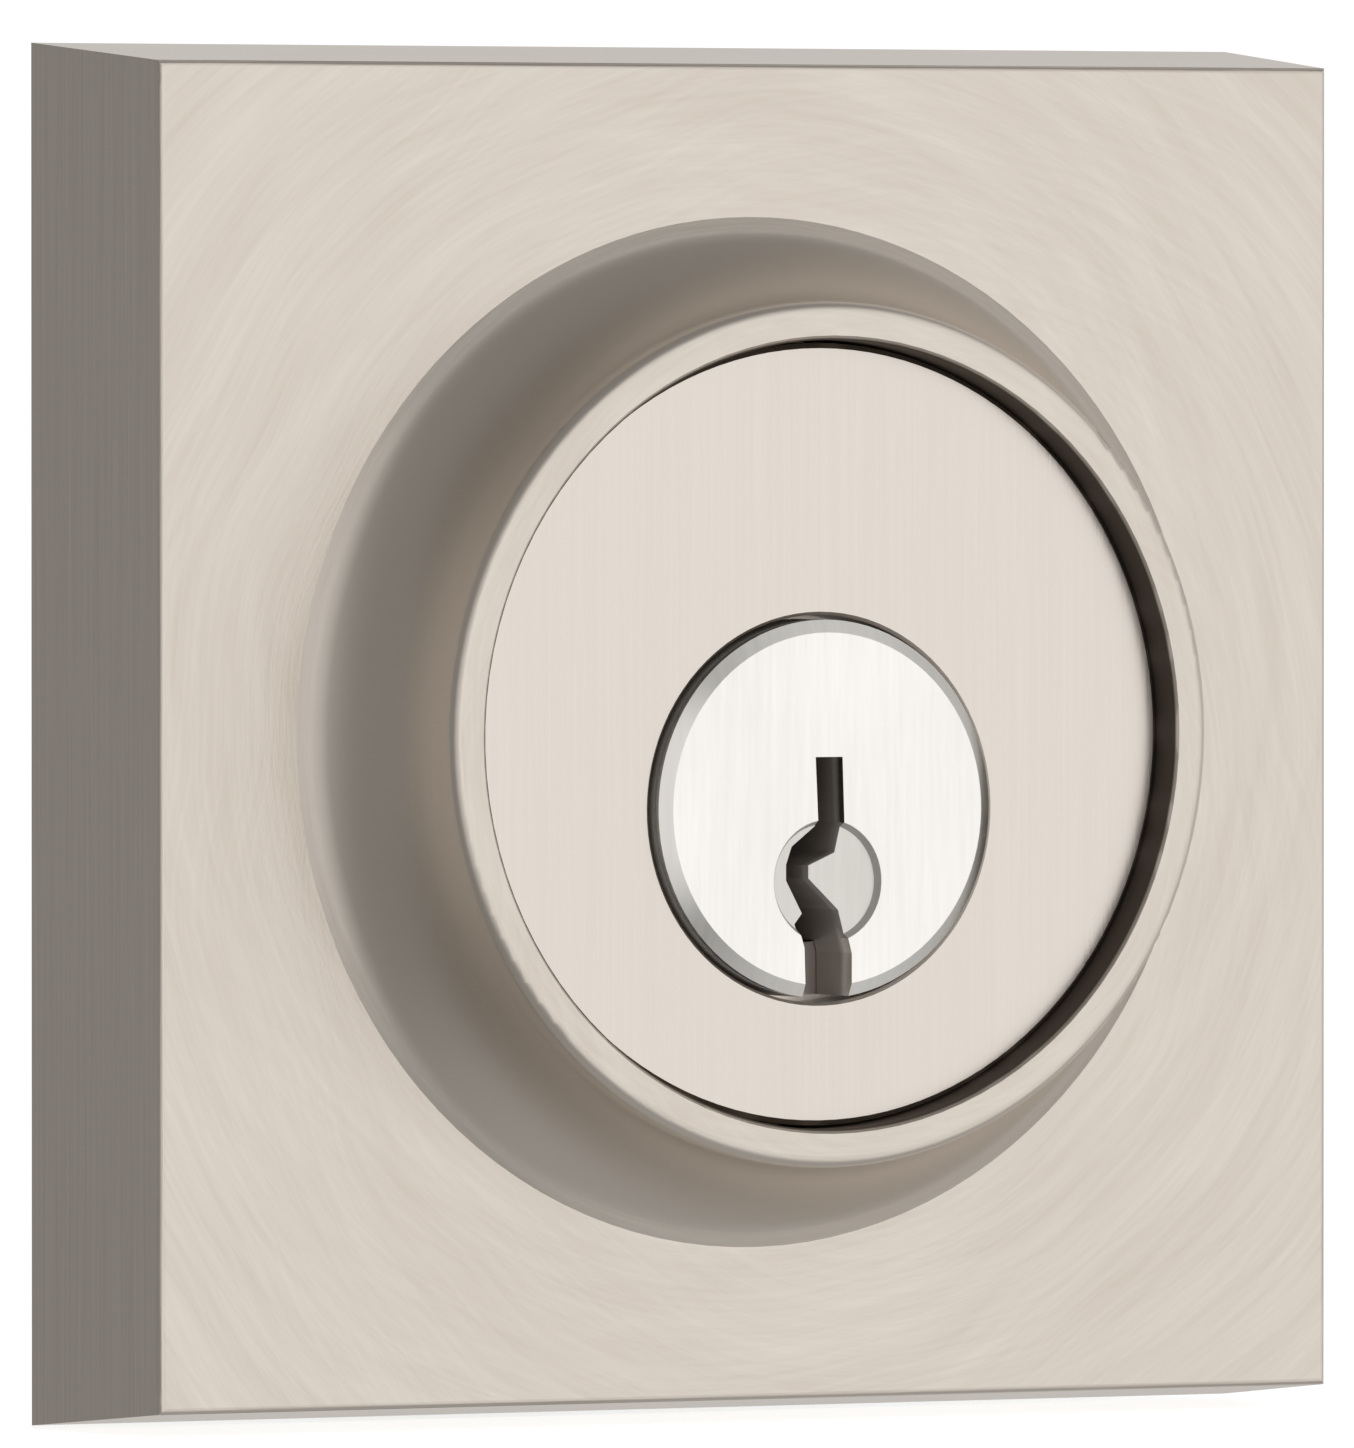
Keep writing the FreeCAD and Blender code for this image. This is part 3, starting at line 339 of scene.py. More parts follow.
def rose_nickel(name, collar_radius, bore_radius, centre_z):
    material, tree, shader, coords = start_finish(name)
    place = add(tree, "ShaderNodeMapping", vector_type="POINT")
    place.inputs["Location"].default_value = (0.0, 0.0, -centre_z)
    wire(tree, coords.outputs["Object"], place, "Vector")
    spot = place.outputs[0]
    facing = add(tree, "ShaderNodeSeparateXYZ")
    wire(tree, coords.outputs["Normal"], facing, 0)
    flat = smooth_step(tree, math_step(tree, "ABSOLUTE", facing.outputs["Y"]), FLAT_FROM, FLAT_TO)
    split = add(tree, "ShaderNodeSeparateXYZ")
    wire(tree, spot, split, 0)
    radius = distance_from_axis(tree, split.outputs["X"], split.outputs["Z"])
    outside_collar = smooth_step(tree, radius, collar_radius - 0.8 * MM, collar_radius + 0.4 * MM)
    arcs = use_group(tree, arc_brushing, spot)
    sides = use_group(tree, straight_brushing, spot)
    sides.inputs["Across per metre"].default_value = SIDE_STROKES
    marks = use_group(tree, handling_marks, spot)
    fine, broad = arcs.outputs
    clouds, grain = marks.outputs
    not_flat = math_step(tree, "SUBTRACT", 1.0, flat)
    on_side = math_step(tree, "MULTIPLY", not_flat, outside_collar)
    face_strokes = math_step(tree, "MULTIPLY", math_step(tree, "SUBTRACT", fine, 0.5), flat)
    side_strokes = math_step(tree, "MULTIPLY", math_step(tree, "SUBTRACT", sides.outputs[0], 0.5), on_side)
    strokes = math_step(tree, "ADD", face_strokes, side_strokes)
    tone = math_step(tree, "MULTIPLY_ADD", strokes, STROKE_TONE, 0.5)
    swirl = math_step(tree, "MULTIPLY", math_step(tree, "SUBTRACT", broad, 0.5), flat)
    tone = math_step(tree, "MULTIPLY_ADD", swirl, SWIRL_TONE, tone)
    tone = weigh(tree, [(clouds, 0.2)], tone)
    plated = tint(tree, shader, tone, SATIN_DARK, SATIN_LIGHT)
    # Painted shade: the wall of the bore inside the collar is tinted dark, standing in for the shade in that
    # recess; it is also made rougher.
    in_bore = smooth_step(tree, radius, bore_radius + 0.12 * MM, bore_radius + 0.03 * MM)
    in_bore = math_step(tree, "MULTIPLY", in_bore, not_flat)
    shade = add(tree, "ShaderNodeMix", data_type="RGBA")
    wire(tree, in_bore, shade, "Factor")
    wire(tree, plated.outputs["Result"], shade, "A")
    shade.inputs["B"].default_value = (*BORE_PAINTED_SHADE, 1.0)
    wire(tree, shade.outputs["Result"], shader, "Base Color")
    rough = math_step(tree, "MULTIPLY_ADD", strokes, 0.14, SATIN_ROUGHNESS)
    rough = math_step(tree, "MULTIPLY_ADD", swirl, 0.12, rough)
    rough = math_step(tree, "MULTIPLY_ADD", in_bore, 0.5, rough)
    wire(tree, weigh(tree, [(clouds, 0.06)], rough), shader, "Roughness")
    height = math_step(tree, "MULTIPLY_ADD", swirl, 0.8, strokes)
    relief(tree, shader, weigh(tree, [(grain, 0.08)], height), PAD_RELIEF)
    return material


outside_nickel = rose_nickel("Satin nickel, outside rose", COLLAR_ROOT, COLLAR_BORE, 0.0)
inside_nickel = rose_nickel("Satin nickel, inside rose", INSIDE_COLLAR_ROOT, INSIDE_COLLAR_BORE, PLUG_AXIS_Z)
print("made", outside_nickel.name, "and", inside_nickel.name)

# %% [markdown]
# The cylinder's face is brushed straight up and down, which sets it apart from the collar round it. The
# same recipe, turned along another axis, serves the bolt, the faceplate and the thumb turn. Plated, turned
# and cast metals carry finer or coarser marks, so they are the same recipe once more, with other numbers.

# %% Straight-brushed metals
HAIRLINE = 0.001 * MM
disc_nickel = brushed_metal("Satin nickel, cylinder face", (5200.0, 300.0, 90.0),
                            (0.66, 0.61, 0.56), (0.78, 0.73, 0.68), 0.30, 6 * HAIRLINE)
bolt_nickel = brushed_metal("Satin nickel, bolt", (90.0, 4200.0, 4200.0),
                            SATIN_DARK, SATIN_LIGHT, 0.30, 6 * HAIRLINE)
face_nickel = brushed_metal("Satin nickel, faceplate", (4200.0, 4200.0, 90.0),
                            SATIN_DARK, SATIN_LIGHT, 0.32, 6 * HAIRLINE)
turn_nickel = brushed_metal("Satin nickel, thumb turn", (4200.0, 4200.0, 90.0),
                            SATIN_DARK, SATIN_LIGHT, 0.30, 5 * HAIRLINE)
zinc_steel = brushed_metal("Zinc-plated steel", (1400.0, 1400.0, 1400.0),
                           (0.50, 0.52, 0.55), (0.66, 0.67, 0.68), 0.34, 3 * HAIRLINE)
spring_steel = brushed_metal("Spring steel", (3000.0, 3000.0, 3000.0),
                             (0.38, 0.38, 0.39), (0.56, 0.56, 0.57), 0.30, 3 * HAIRLINE)
turned_brass = brushed_metal("Turned brass", (500.0, 500.0, 6000.0),
                             (0.62, 0.43, 0.18), (0.78, 0.58, 0.28), 0.26, 4 * HAIRLINE)
cast_zinc = brushed_metal("Cast zinc", (900.0, 900.0, 900.0),
                          (0.40, 0.39, 0.375), (0.54, 0.53, 0.51), 0.48, 20 * HAIRLINE)
black_oxide = brushed_metal("Hardened steel, black oxide", (1600.0, 1600.0, 1600.0),
                            (0.030, 0.030, 0.033), (0.065, 0.064, 0.066), 0.42, 5 * HAIRLINE)

# %% [markdown]
# The plug's face is lapped and plated bright, so it shows a clean reflection with only hairline marks.
# Round the foot of the keyway is a milled spot, a little rougher than the face and painted greyer, a
# painted reflection of its sloping walls. Inside the keyway the colour is painted darker with depth, a
# painted shade in the slot, and the metal is made less metallic and rougher there.

# %% Bright plug
SPOT_CENTRE_Z = PLUG_AXIS_Z - 3.4 * MM
SPOT_RADIUS = 2.9 * MM
SPOT_EDGE = 0.05 * MM
# Dark end of the plug's tone; at full depth in the keyway it is painted shade.
PLUG_DARK_AND_KEYWAY_SHADE = (0.22, 0.185, 0.155)
LAPPED_LIGHT = (0.90, 0.89, 0.865)


def bright_plug():
    material, tree, shader, coords = start_finish("Bright nickel, plug")
    split = add(tree, "ShaderNodeSeparateXYZ")
    wire(tree, coords.outputs["Object"], split, 0)
    x, y, z = split.outputs
    down = math_step(tree, "SUBTRACT", z, SPOT_CENTRE_Z)
    reach = distance_from_axis(tree, x, down)
    spot = smooth_step(tree, reach, SPOT_RADIUS + SPOT_EDGE, SPOT_RADIUS - SPOT_EDGE)
    near_face = smooth_step(tree, y, PLUG_FACE_Y + 0.8 * MM, PLUG_FACE_Y + 0.5 * MM)
    spot = math_step(tree, "MULTIPLY", spot, near_face)
    keyway_depth_shade = smooth_step(tree, y, PLUG_FACE_Y + 0.3 * MM, PLUG_FACE_Y + 1.2 * MM)
    brushing = use_group(tree, straight_brushing, coords.outputs["Object"])
    brushing.inputs["Across per metre"].default_value = (3000.0, 300.0, 200.0)
    marks = use_group(tree, handling_marks, coords.outputs["Object"])
    tone = weigh(tree, [(brushing.outputs[0], 0.2), (marks.outputs["Clouds"], 0.2)], 0.9)
    # Painted reflection: the milled spot is tinted greyer, standing in for the darker reflection of its
    # sloping walls.
    tone = math_step(tree, "MULTIPLY_ADD", spot, -0.20, tone)
    # Painted shade: the keyway's colour darkens with depth, standing in for the shade inside the slot.
    tone = math_step(tree, "MULTIPLY_ADD", keyway_depth_shade, -0.8, tone)
    tint(tree, shader, tone, PLUG_DARK_AND_KEYWAY_SHADE, LAPPED_LIGHT)
    wire(tree, math_step(tree, "MULTIPLY_ADD", keyway_depth_shade, -0.75, 1.0), shader, "Metallic")
    rough = weigh(tree, [(brushing.outputs[0], 0.05), (marks.outputs["Clouds"], 0.05)], 0.14)
    facing = add(tree, "ShaderNodeSeparateXYZ")
    wire(tree, coords.outputs["Normal"], facing, 0)
    wall = smooth_step(tree, math_step(tree, "ABSOLUTE", facing.outputs["Y"]), 0.95, 0.70)
    wall = math_step(tree, "MULTIPLY", wall, spot)
    rough = math_step(tree, "MULTIPLY_ADD", spot, 0.22, rough)
    rough = math_step(tree, "MULTIPLY_ADD", wall, 0.40, rough)
    wire(tree, math_step(tree, "MULTIPLY_ADD", keyway_depth_shade, 0.3, rough), shader, "Roughness")
    relief(tree, shader, brushing.outputs[0], 1.2 * HAIRLINE)
    return material


plug_bright = bright_plug()
print("spot centre, mm below the lock's centre:", round(-SPOT_CENTRE_Z / MM, 2))

# %% [markdown]
# The seal behind the rose is black moulded rubber: not a metal, quite matt, with a fine even grain.

# %% Rubber seal
def seal_rubber():
    material, tree, shader, coords = start_finish("Black rubber seal", metallic=0.0, specular=0.35)
    marks = use_group(tree, handling_marks, coords.outputs["Object"])
    tone = weigh(tree, [(marks.outputs["Grain"], 0.6), (marks.outputs["Clouds"], 0.4)], 0.5)
    tint(tree, shader, tone, (0.018, 0.017, 0.016), (0.040, 0.038, 0.036))
    wire(tree, weigh(tree, [(marks.outputs["Grain"], 0.15)], 0.62), shader, "Roughness")
    relief(tree, shader, marks.outputs["Grain"], 0.03 * MM)
    return material


rubber = seal_rubber()
print("made", rubber.name)

# %% [markdown]
# Each piece now gets its finish. The list goes by finish, because one plating bath or one bar of stock
# serves many pieces.

# %% Hand out the finishes
finishes = {
    "outside_rose": outside_nickel, "inside_rose": inside_nickel, "thumb_turn": turn_nickel,
    "cylinder_body": disc_nickel, "plug": plug_bright, "outside_gasket": rubber, "bolt": bolt_nickel,
    "faceplate": face_nickel, "faceplate_screws": face_nickel,
}
by_stock = {
    zinc_steel: ["tailpiece", "bolt_bar", "bar_rivets", "bolt_cam", "case_outer", "case_inner",
                 "case_rivets", "bolt_tube", "back_plate", "mounting_plate", "mounting_screws"],
    spring_steel: ["tail_retainer", "plug_clip", "yoke_circlip", "detent_spring", "turn_clip"],
    turned_brass: ["tail_driver", "chamber_cap", "turn_washer"],
    cast_zinc: ["cylinder_yoke", "case_collar", "turn_spindle"],
    black_oxide: ["drill_pins", "bolt_hard_pin", "rose_set_screw"],
}
for material, names in by_stock.items():
    for name in names:
        finishes[name] = material
for number in range(1, 6):
    finishes[f"key_pin_{number}"] = turned_brass
    finishes[f"driver_pin_{number}"] = zinc_steel
    finishes[f"pin_spring_{number}"] = spring_steel
for name, piece in nodes.items():
    piece.data.materials.clear()
    piece.data.materials.append(finishes[name])
print("pieces with a finish:", len(finishes))

# %% [markdown]
# A lock is full of true edges: the crease where the flare of the collar leaves the rose, the edge of a
# rim, the end of a screw. The exact model comes in as loose triangles, so light bends softly over some of
# those edges. One way is to draw the pieces again; here their shape is already right, so each large visible
# piece is copied and its triangles are joined. Edges sharper than a set angle stay crisp, and so does the
# border of every flat face, or the light on a flat face would bend towards the curve beside it.

# %% Crisp copies of the visible pieces
def select_only(thing):
    bpy.ops.object.select_all(action="DESELECT")
    thing.select_set(True)
    bpy.context.view_layer.objects.active = thing


SQUARE_ON = 0.9999
DRAFTED_SIDE = 0.994
SAME_PLANE = 0.9998
MERGE_WITHIN = 0.002 * MM


def is_flat(face, half_width):
    """A face square to an axis, or one of the rose's four sides, which lean a little for the mould."""
    normal = face.normal
    if max(abs(part) for part in normal) > SQUARE_ON:
        return True
    on_side = max(abs(face.center.x), abs(face.center.z)) > half_width
    return on_side and max(abs(normal.x), abs(normal.z)) > DRAFTED_SIDE


def mark_flat_borders(mesh, half_width):
    flat = [is_flat(face, half_width) for face in mesh.polygons]
    sides = {}
    for face, flag in zip(mesh.polygons, flat):
        for key in face.edge_keys:
            sides.setdefault(key, []).append((flag, face.normal))
    for edge in mesh.edges:
        met = sides[edge.key]
        if len(met) == 2 and (met[0][0] or met[1][0]) and met[0][1].dot(met[1][1]) < SAME_PLANE:
            edge.use_edge_sharp = True


NO_SIDES = 1.0


def crisp_copy(name, body, angle, half_width=NO_SIDES):
    piece = bpy.data.objects.new(name + "_crisp", nodes[name].data.copy())
    bpy.context.scene.collection.objects.link(piece)
    select_only(piece)
    bpy.ops.object.mode_set(mode="EDIT")
    bpy.ops.mesh.select_all(action="SELECT")
    bpy.ops.mesh.remove_doubles(threshold=MERGE_WITHIN)
    bpy.ops.object.mode_set(mode="OBJECT")
    bpy.ops.object.shade_smooth_by_angle(angle=math.radians(angle))
    mark_flat_borders(piece.data, half_width)
    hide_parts(name)
    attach(piece, body)
    print(piece.name, "corners:", len(piece.data.vertices))
    return piece


outside = crisp_copy("outside_rose", "lock_body", 35, ROSE_HALF_FACE)
crisp_copy("inside_rose", "lock_body", 35, ROSE_HALF_FACE)
crisp_copy("thumb_turn", "turn_train", 30)

# %% [markdown]
# The collar's flare is a turned surface, so it should shade alike all the way round. Its triangles are
# uneven, most of all in the small hollow at its root, and light catches on them. The corners stand in rows,
# one row for each depth, so every row is given the mean of its own normals, turned to each corner's place
# on the circle. The root keeps the shade of the flare's foot, which leaves one clean crease at the face.

# %% Even shading round the collar
ROW_DEPTH = 0.02 * MM


def even_collar(mesh, front, foot, row_depth):
    auto = [corner.vector.copy() for corner in mesh.corner_normals]
    flare, rows = [], {}
    for face in mesh.polygons:
        outward = face.normal.x * face.center.x + face.normal.z * face.center.z
        if face.center.y < front and outward > 0 and abs(face.normal.y) < SQUARE_ON:
            flare.extend(face.loop_indices)
    for loop in flare:
        spot = mesh.vertices[mesh.loops[loop].vertex_index].co
        out = Vector((spot.x, 0, spot.z)).normalized()
        row = rows.setdefault(round(min(spot.y, foot) / row_depth), Vector((0, 0)))
        if spot.y < foot:
            row += Vector((auto[loop].dot(out), auto[loop].y))
    foot_row = max(key for key, total in rows.items() if total.length > 0)
    given = [Vector((0, 0, 0))] * len(auto)
    for loop in flare:
        spot = mesh.vertices[mesh.loops[loop].vertex_index].co
        out = Vector((spot.x, 0, spot.z)).normalized()
        total = rows[round(spot.y / row_depth) if spot.y < foot else foot_row].normalized()
        given[loop] = out * total.x + Vector((0, total.y, 0))
    mesh.normals_split_custom_set(given)
    print("rows of corners round the flare:", len(rows))


even_collar(outside.data, ROSE_FRONT_Y - 0.001 * MM, FLARE_FOOT_Y, ROW_DEPTH)

# %% [markdown]
# A small coil spring pushes each pin down, and the cap over the chambers holds the spring's top. When a
# pin rises its spring can only get shorter. So a copy of each spring stands for it, and the share of its
# length that is left when the pin is fully up is worked out from the room under the cap.

# %% Spring copies and their room
def live_spring(number):
    node = f"pin_spring_{number}"
    spring = crisp_copy(node, "lock_body", 35)
    lift = next(joint for joint in frame["joints"] if joint["name"] == f"driver_lift_{number}")
    pin_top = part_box(f"driver_pin_{number}")[1].z
    cap_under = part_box("chamber_cap")[0].z
    room = cap_under - pin_top
    share = (room - lift["range_m"][1]) / room
    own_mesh(spring)
    return share


for number in range(1, 6):
    print("spring", number, "keeps", round(live_spring(number), 3), "of its length")

# %% [markdown]
# The screws carry real threads. A thread is a three-cornered ridge wound round a thinner core; the Screw
# modifier winds a small triangle up the shank, one turn for each pitch. The through screws have a round
# head and the wood screws a sunk one, both with a cross cut by a Boolean. One screw of each kind is made
# and the second is its copy, set in the other hole.

# %% Screw helpers
THREAD_OVERLAP = 0.75
THREAD_STEPS = 20
SCREW_SIDES = 40


def apply_all(thing):
    select_only(thing)
    for modifier in list(thing.modifiers):
        bpy.ops.object.modifier_apply(modifier=modifier.name)


def join_all(things, name):
    bpy.ops.object.select_all(action="DESELECT")
    for thing in things:
        thing.select_set(True)
    bpy.context.view_layer.objects.active = things[0]
    bpy.ops.object.join()
    things[0].name = name
    return things[0]


def thread_ridge(core, crest, pitch, start, turns):
    """A triangle wound into a helix about Z, its crest reaching out to the thread's full radius."""
    height = (crest - core) / THREAD_OVERLAP
    bpy.ops.object.select_all(action="DESELECT")
    bpy.ops.mesh.primitive_circle_add(vertices=3, radius=height / 1.5, fill_type="NGON",
                                      rotation=(math.radians(90), math.radians(90), 0))
    bpy.ops.object.transform_apply(location=False, rotation=True, scale=False)
    ridge = bpy.context.object
    bpy.ops.object.mode_set(mode="EDIT")
    bpy.ops.mesh.select_all(action="SELECT")
    bpy.ops.transform.translate(value=(crest - height / 1.5, 0, start))
    bpy.ops.mesh.delete(type="ONLY_FACE")
    bpy.ops.object.mode_set(mode="OBJECT")
    winding = ridge.modifiers.new("Winding", "SCREW")
    winding.axis = "Z"
    winding.screw_offset = pitch
    winding.iterations = turns
    winding.steps = winding.render_steps = THREAD_STEPS
    winding.use_merge_vertices = False
    apply_all(ridge)
    bpy.ops.object.mode_set(mode="EDIT")
    bpy.ops.mesh.select_all(action="SELECT")
    bpy.ops.mesh.fill_holes(sides=3)
    bpy.ops.mesh.normals_make_consistent(inside=False)
    bpy.ops.object.mode_set(mode="OBJECT")
    bpy.ops.object.shade_flat()
    return ridge


def cut_cross(head, top, length, width, depth):
    """Two long bars at right angles, cut into the head from its top."""
    for size in ((length, width, 2 * depth), (width, length, 2 * depth)):
        bpy.ops.object.select_all(action="DESELECT")
        bpy.ops.mesh.primitive_cube_add(size=1.0, location=(0, 0, top))
        cutter = bpy.context.object
        cutter.scale = size
        bpy.ops.object.transform_apply(location=False, rotation=False, scale=True)
        cut = head.modifiers.new("Cross", "BOOLEAN")
        cut.operation = "DIFFERENCE"
        cut.solver = "EXACT"
        cut.object = cutter
        apply_all(head)
        bpy.data.objects.remove(cutter, do_unlink=True)


def round_part(radius_low, radius_high, low, high):
    """A straight or tapered length of a turned part, standing on the Z axis."""
    bpy.ops.object.select_all(action="DESELECT")
    bpy.ops.mesh.primitive_cone_add(vertices=SCREW_SIDES, radius1=radius_low, radius2=radius_high,
                                    depth=high - low, location=(0, 0, (low + high) / 2))
    bpy.ops.object.transform_apply(location=True, rotation=False, scale=False)
    return bpy.context.object


def bevel_rim(part, height, offset, steps):
    """Rounds the outer edge of a turned part at one height."""
    select_only(part)
    bpy.ops.object.mode_set(mode="EDIT")
    bpy.ops.mesh.select_mode(type="EDGE")
    bpy.ops.mesh.select_all(action="DESELECT")
    bpy.ops.object.mode_set(mode="OBJECT")
    for edge in part.data.edges:
        ends = [part.data.vertices[index].co.z for index in edge.vertices]
        edge.select = all(abs(z - height) < 1e-6 for z in ends)
    bpy.ops.object.mode_set(mode="EDIT")
    bpy.ops.mesh.bevel(offset=offset, segments=steps, affect="EDGES")
    bpy.ops.object.mode_set(mode="OBJECT")


def place_pair(screw, turned, spots, name, node):
    """Turns the screw to its bore, copies it to the other bore and joins the pair into one piece."""
    pair = []
    for spot in spots:
        twin = screw.copy()
        twin.data = screw.data.copy()
        bpy.context.scene.collection.objects.link(twin)
        twin.rotation_euler = turned
        twin.location = spot
        select_only(twin)
        bpy.ops.object.transform_apply(location=True, rotation=True, scale=True)
        pair.append(twin)
    bpy.data.objects.remove(screw, do_unlink=True)
    joined = join_all(pair, name)
    bpy.ops.object.shade_smooth_by_angle(angle=math.radians(32))
    joined.data.materials.clear()
    joined.data.materials.append(finishes[node])
    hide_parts(node)
    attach(joined, "lock_body")
    print(name, "triangles:", sum(len(face.vertices) - 2 for face in joined.data.polygons))


# %% [markdown]
# The two through screws clamp the lock's halves together. Each has a plain neck below its head, and a
# machine thread that tapers in at the tip, so that it starts easily in the yoke's post. The length comes
# from the exact pieces; the head's width is given.

# %% Through screws
def through_screws():
    low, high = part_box("mounting_screws")
    full, head_radius, head_height = 2.05 * MM, 3.8 * MM, 2.4 * MM
    length = high[1] - low[1] - head_height
    core, pitch = 1.62 * MM, 0.8 * MM
    neck, taper = 16.0 * MM, 0.8 * MM
    tip = round_part(1.3 * MM, core, -length, -length + taper)
    body = round_part(core, core, -length + taper, -neck)
    plain = round_part(full, full, -neck, 0.0)
    turns = int((length - neck - 1.2 * MM) / pitch)
    ridge = thread_ridge(core, full, pitch, -length + 1.0 * MM, turns)
    head = round_part(head_radius, head_radius, 0.0, head_height)
    bevel_rim(head, head_height, 0.9 * MM, 5)
    cut_cross(head, head_height, 4.4 * MM, 0.95 * MM, 1.4 * MM)
    screw = join_all([head, tip, body, plain, ridge], "through_screw")
    away = (high[2] - low[2]) / 2 - head_radius
    spots = [(0, high[1] - head_height, side * away) for side in (-1, 1)]
    place_pair(screw, (math.radians(-90), 0, 0), spots, "mounting_screws_threaded", "mounting_screws")


through_screws()

# %% [markdown]
# The faceplate is held to the door's edge by two wood screws. Their thread is coarse and their tip is sharp,
# to cut into the wood, and the cone under the head sinks it flush with the plate.

# %% Wood screws of the faceplate
def wood_screws():
    low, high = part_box("faceplate_screws")
    full, core, pitch, head_height = 2.1 * MM, 1.5 * MM, 1.5 * MM, 2.1 * MM
    head_radius = (high[1] - low[1]) / 2
    length = high[0] - low[0] - head_height
    point = 4.0 * MM
    tip = round_part(0.1 * MM, core, -length, -length + point)
    body = round_part(core, core, -length + point, 0.0)
    ridge = thread_ridge(core, full, pitch, -length + 3.6 * MM, int((length - 5.2 * MM) / pitch))
    head = round_part(full, head_radius, 0.0, head_height)
    cut_cross(head, head_height, 4.6 * MM, 0.95 * MM, 1.3 * MM)
    screw = join_all([head, tip, body, ridge], "wood_screw")
    away = (high[2] - low[2]) / 2 - head_radius
    y = (low[1] + high[1]) / 2
    spots = [(high[0] - head_height, y, side * away) for side in (-1, 1)]
    place_pair(screw, (0, math.radians(90), 0), spots, "faceplate_screws_threaded", "faceplate_screws")


wood_screws()

# %% [markdown]
# The studio is plain: a pale floor, white all round behind the lock, a large bright panel to the front
# right and softer light from elsewhere. Metal shows what surrounds it, so the world is brighter towards
# the panel and greyer on the other sides, which draws the flare of the collar and the side of the rose.

# %% World light
BASE_LEVEL = 0.28
LOBES = (
    # towards, fades in from, full at, strength
    ((0.50, -0.86, 0.05), 0.45, 0.92, 0.70),    # in front, to the right
    ((0.70, 0.70, 0.10), 0.45, 0.90, 0.50),     # behind
    ((-0.55, 0.80, 0.05), 0.30, 0.95, 0.04),    # behind, to the left
    ((-0.48, -0.87, 0.03), 0.72, 0.985, 0.50),  # round the camera
    ((0.35, 0.0, -0.94), 0.35, 0.95, 0.18),     # below
)
WARM_WHITE = (1.0, 0.985, 0.965, 1.0)
WHITE = (1.0, 1.0, 1.0, 1.0)
BACKDROP = 1.05


def lobe(tree, direction, towards, low, high):
    """A soft patch of light: 1 in the middle of one direction, fading to 0 round it."""
    facing = add(tree, "ShaderNodeVectorMath", operation="DOT_PRODUCT")
    wire(tree, direction, facing, 0)
    facing.inputs[1].default_value = Vector(towards).normalized()
    return smooth_step(tree, facing.outputs["Value"], low, high)


def studio_world():
    world = bpy.data.worlds.new("White studio")
    world.use_nodes = True
    tree = world.node_tree
    tree.nodes.clear()
    coords = add(tree, "ShaderNodeTexCoord")
    direction = coords.outputs["Generated"]
    level = BASE_LEVEL
    for towards, low, high, strength in LOBES:
        patch = lobe(tree, direction, towards, low, high)
        level = math_step(tree, "MULTIPLY_ADD", patch, strength, level)
    light = add(tree, "ShaderNodeBackground")
    light.inputs["Color"].default_value = WARM_WHITE
    wire(tree, level, light, "Strength")
    seen = add(tree, "ShaderNodeBackground")
    seen.inputs["Color"].default_value = WHITE
    seen.inputs["Strength"].default_value = BACKDROP
    path = add(tree, "ShaderNodeLightPath")
    mix = add(tree, "ShaderNodeMixShader")
    wire(tree, path.outputs["Is Camera Ray"], mix, 0)
    tree.links.new(light.outputs[0], mix.inputs[1])
    tree.links.new(seen.outputs[0], mix.inputs[2])
    out = add(tree, "ShaderNodeOutputWorld")
    wire(tree, mix.outputs[0], out, "Surface")
    bpy.context.scene.world = world


studio_world()
bpy.context.scene.view_settings.view_transform = "Standard"
print("soft patches of light:", len(LOBES))

# %% [markdown]
# The floor is pale and almost shadowless, so the lock stands in an even white room.

# %% Floor
def stage_plane(name, size, location, rotation):
    bpy.ops.object.select_all(action="DESELECT")
    bpy.ops.mesh.primitive_plane_add(size=1.0, location=location, rotation=rotation)
    plane = bpy.context.object
    plane.name = name
    plane.scale = (*size, 1.0)
    return plane


def floor_paint():
    material, tree, shader, coords = start_finish("Pale studio floor", metallic=0.0, specular=0.2)
    noise = add(tree, "ShaderNodeTexNoise")
    noise.inputs["Scale"].default_value = 3.0
    wire(tree, coords.outputs["Object"], noise, "Vector")
    tint(tree, shader, noise.outputs["Fac"], (0.93, 0.93, 0.93), (0.95, 0.95, 0.95))
    shader.inputs["Roughness"].default_value = 0.7
    shader.inputs["Emission Color"].default_value = WHITE
    shader.inputs["Emission Strength"].default_value = 0.75
    return material


FLOOR_SIZE = (6.0, 6.0)
FLOOR_GAP = 0.2 * MM
floor = stage_plane("studio_floor", FLOOR_SIZE, (0.0, 0.0, cad_box[0][2] - FLOOR_GAP), (0.0, 0.0, 0.0))
floor.data.materials.append(floor_paint())
floor.visible_glossy = False
print("floor, m:", FLOOR_SIZE)

# %% [markdown]
# Two large soft lamps shape the metal: one fills the front, the other lifts the back of the lock, where
# the thumb turn is.

# %% Lamps
def soft_lamp(name, location, target, width, power):
    data = bpy.data.lights.new(name, "AREA")
    data.shape = "SQUARE"
    data.size = width
    data.energy = power
    lamp = bpy.data.objects.new(name, data)
    bpy.context.scene.collection.objects.link(lamp)
    lamp.location = location
    lamp.rotation_euler = (Vector(target) - Vector(location)).to_track_quat("-Z", "Y").to_euler()
    print(name, "watts:", power)


soft_lamp("front_right_panel", (0.45, -0.80, 0.10), (0, 0, 0), 0.50, 0.12)
soft_lamp("back_panel", (-0.10, 0.80, 0.75), (0, 0.04, 0), 0.60, 0.5)

# %% [markdown]
# The camera stands to the left of the lock, almost level with it, far off with a long lens, so that the
# square hardly tapers. It is placed by bearing, height and distance from a point on the collar.

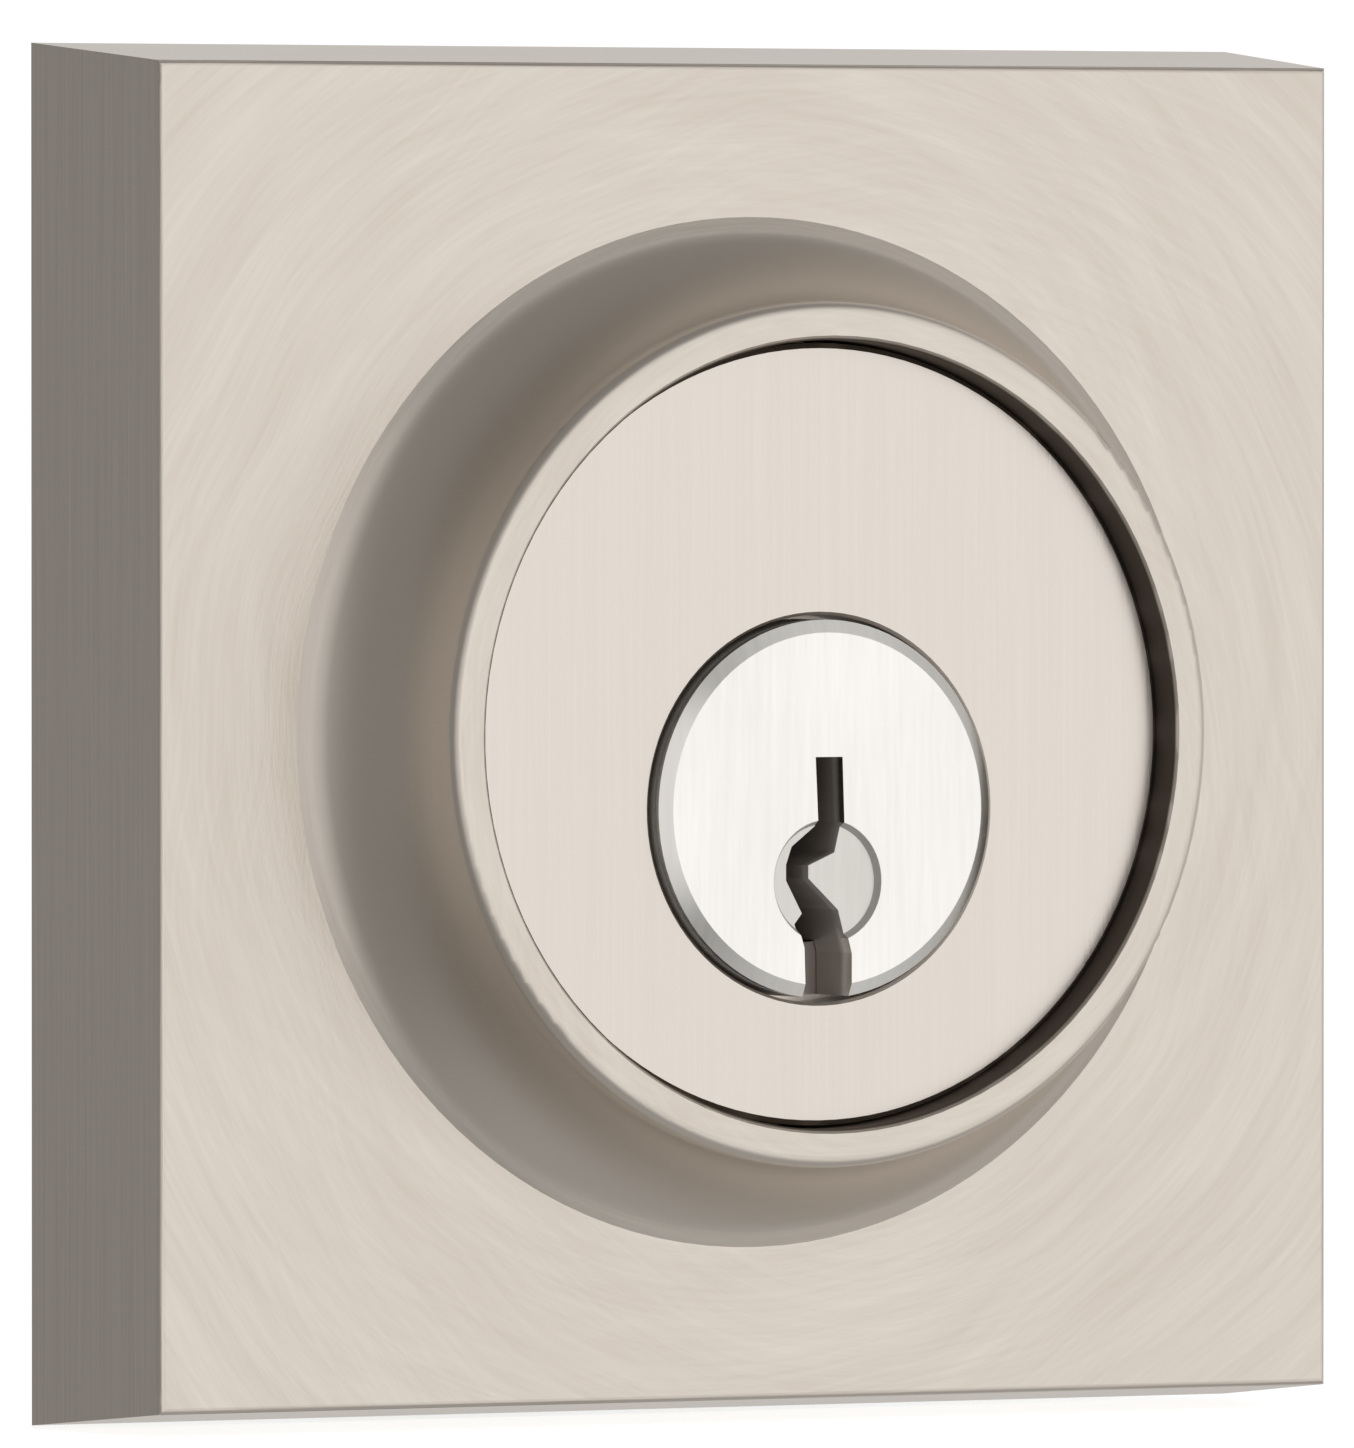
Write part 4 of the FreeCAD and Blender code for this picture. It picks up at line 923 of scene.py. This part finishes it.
# %% Camera
BEARING = math.radians(-28.98)
ELEVATION = math.radians(0.97)
DISTANCE = 1.032
LENS_MM, SENSOR_MM = 542.5, 36.0
LOOKED_AT = Vector((0.0, -11.2 * MM, 0.0))
SHIFT_LEFT, SHIFT_UP = 3.23 * MM, 0.38 * MM
data = bpy.data.cameras.new("camera")
data.lens = LENS_MM
data.sensor_width = SENSOR_MM
data.sensor_fit = "AUTO"
camera = bpy.data.objects.new("camera", data)
bpy.context.scene.collection.objects.link(camera)
away = Vector((math.sin(BEARING) * math.cos(ELEVATION), -math.cos(BEARING) * math.cos(ELEVATION),
               math.sin(ELEVATION)))
right = Vector((math.cos(BEARING), math.sin(BEARING), 0.0))
up = right.cross(-away)
aim = LOOKED_AT - right * SHIFT_LEFT + up * SHIFT_UP
camera.location = aim + away * DISTANCE
camera.rotation_euler = (-away).to_track_quat("-Z", "Y").to_euler()
bpy.context.scene.camera = camera
print("camera at, m:", [round(v, 3) for v in camera.location])

# %% [markdown]
# A door would hide the bolt and the inside half from here. There is no door in the studio, so two narrow
# white flags stand close to the camera, one on each side of the rose, as is usual in a studio.
# They start where the rose ends, which is measured from its corners, and lean with its edges. From behind
# they are clear, and they stand so far from the lock that a view from another side doesn't catch them.

# %% Flags beside the camera
FLAG_DISTANCE = 0.40
FLAG_SIZE = (6.0 * MM, 40.0 * MM)
NEAR_CORNER = 0.02


def flag_paint():
    material = bpy.data.materials.new("White flag, clear from behind")
    material.use_nodes = True
    tree = material.node_tree
    tree.nodes.clear()
    glow = add(tree, "ShaderNodeEmission")
    glow.inputs["Color"].default_value = WHITE
    glow.inputs["Strength"].default_value = BACKDROP
    clear = add(tree, "ShaderNodeBsdfTransparent")
    side = add(tree, "ShaderNodeNewGeometry")
    mix = add(tree, "ShaderNodeMixShader")
    wire(tree, side.outputs["Backfacing"], mix, 0)
    tree.links.new(glow.outputs[0], mix.inputs[1])
    tree.links.new(clear.outputs[0], mix.inputs[2])
    out = add(tree, "ShaderNodeOutputMaterial")
    wire(tree, mix.outputs[0], out, "Surface")
    return material


def seen_at(point):
    """Where a point appears in the camera's view, to the right and up, at one metre from the camera."""
    offset = point - camera.location
    return Vector((offset.dot(right), offset.dot(up))) / offset.dot(-away)


def white_flag(name, paint, seen, side):
    """A flag that starts along the rose's upright edge; side is -1 for left and 1 for right."""
    top = max((spot for spot in seen if spot.y > NEAR_CORNER), key=lambda spot: side * spot.x)
    foot = max((spot for spot in seen if spot.y < -NEAR_CORNER), key=lambda spot: side * spot.x)
    lean = (top - foot).normalized()
    across = right * lean.y - up * lean.x
    along = right * lean.x + up * lean.y
    edge = (top + foot) / 2 * FLAG_DISTANCE
    centre = camera.location - away * FLAG_DISTANCE + right * edge.x + up * edge.y
    turned = Matrix((across, along, away)).transposed().to_euler()
    flag = stage_plane(name, FLAG_SIZE, centre + across * side * FLAG_SIZE[0] / 2, turned)
    flag.data.materials.append(paint)
    flag.visible_diffuse = flag.visible_glossy = False
    flag.visible_shadow = flag.visible_transmission = False
    print(name, "leans, degrees:", round(math.degrees(math.atan2(lean.x, lean.y)), 3))


white = flag_paint()
seen = [seen_at(corner.co) for corner in outside.data.vertices]
white_flag("left_flag", white, seen, -1)
white_flag("right_flag", white, seen, 1)
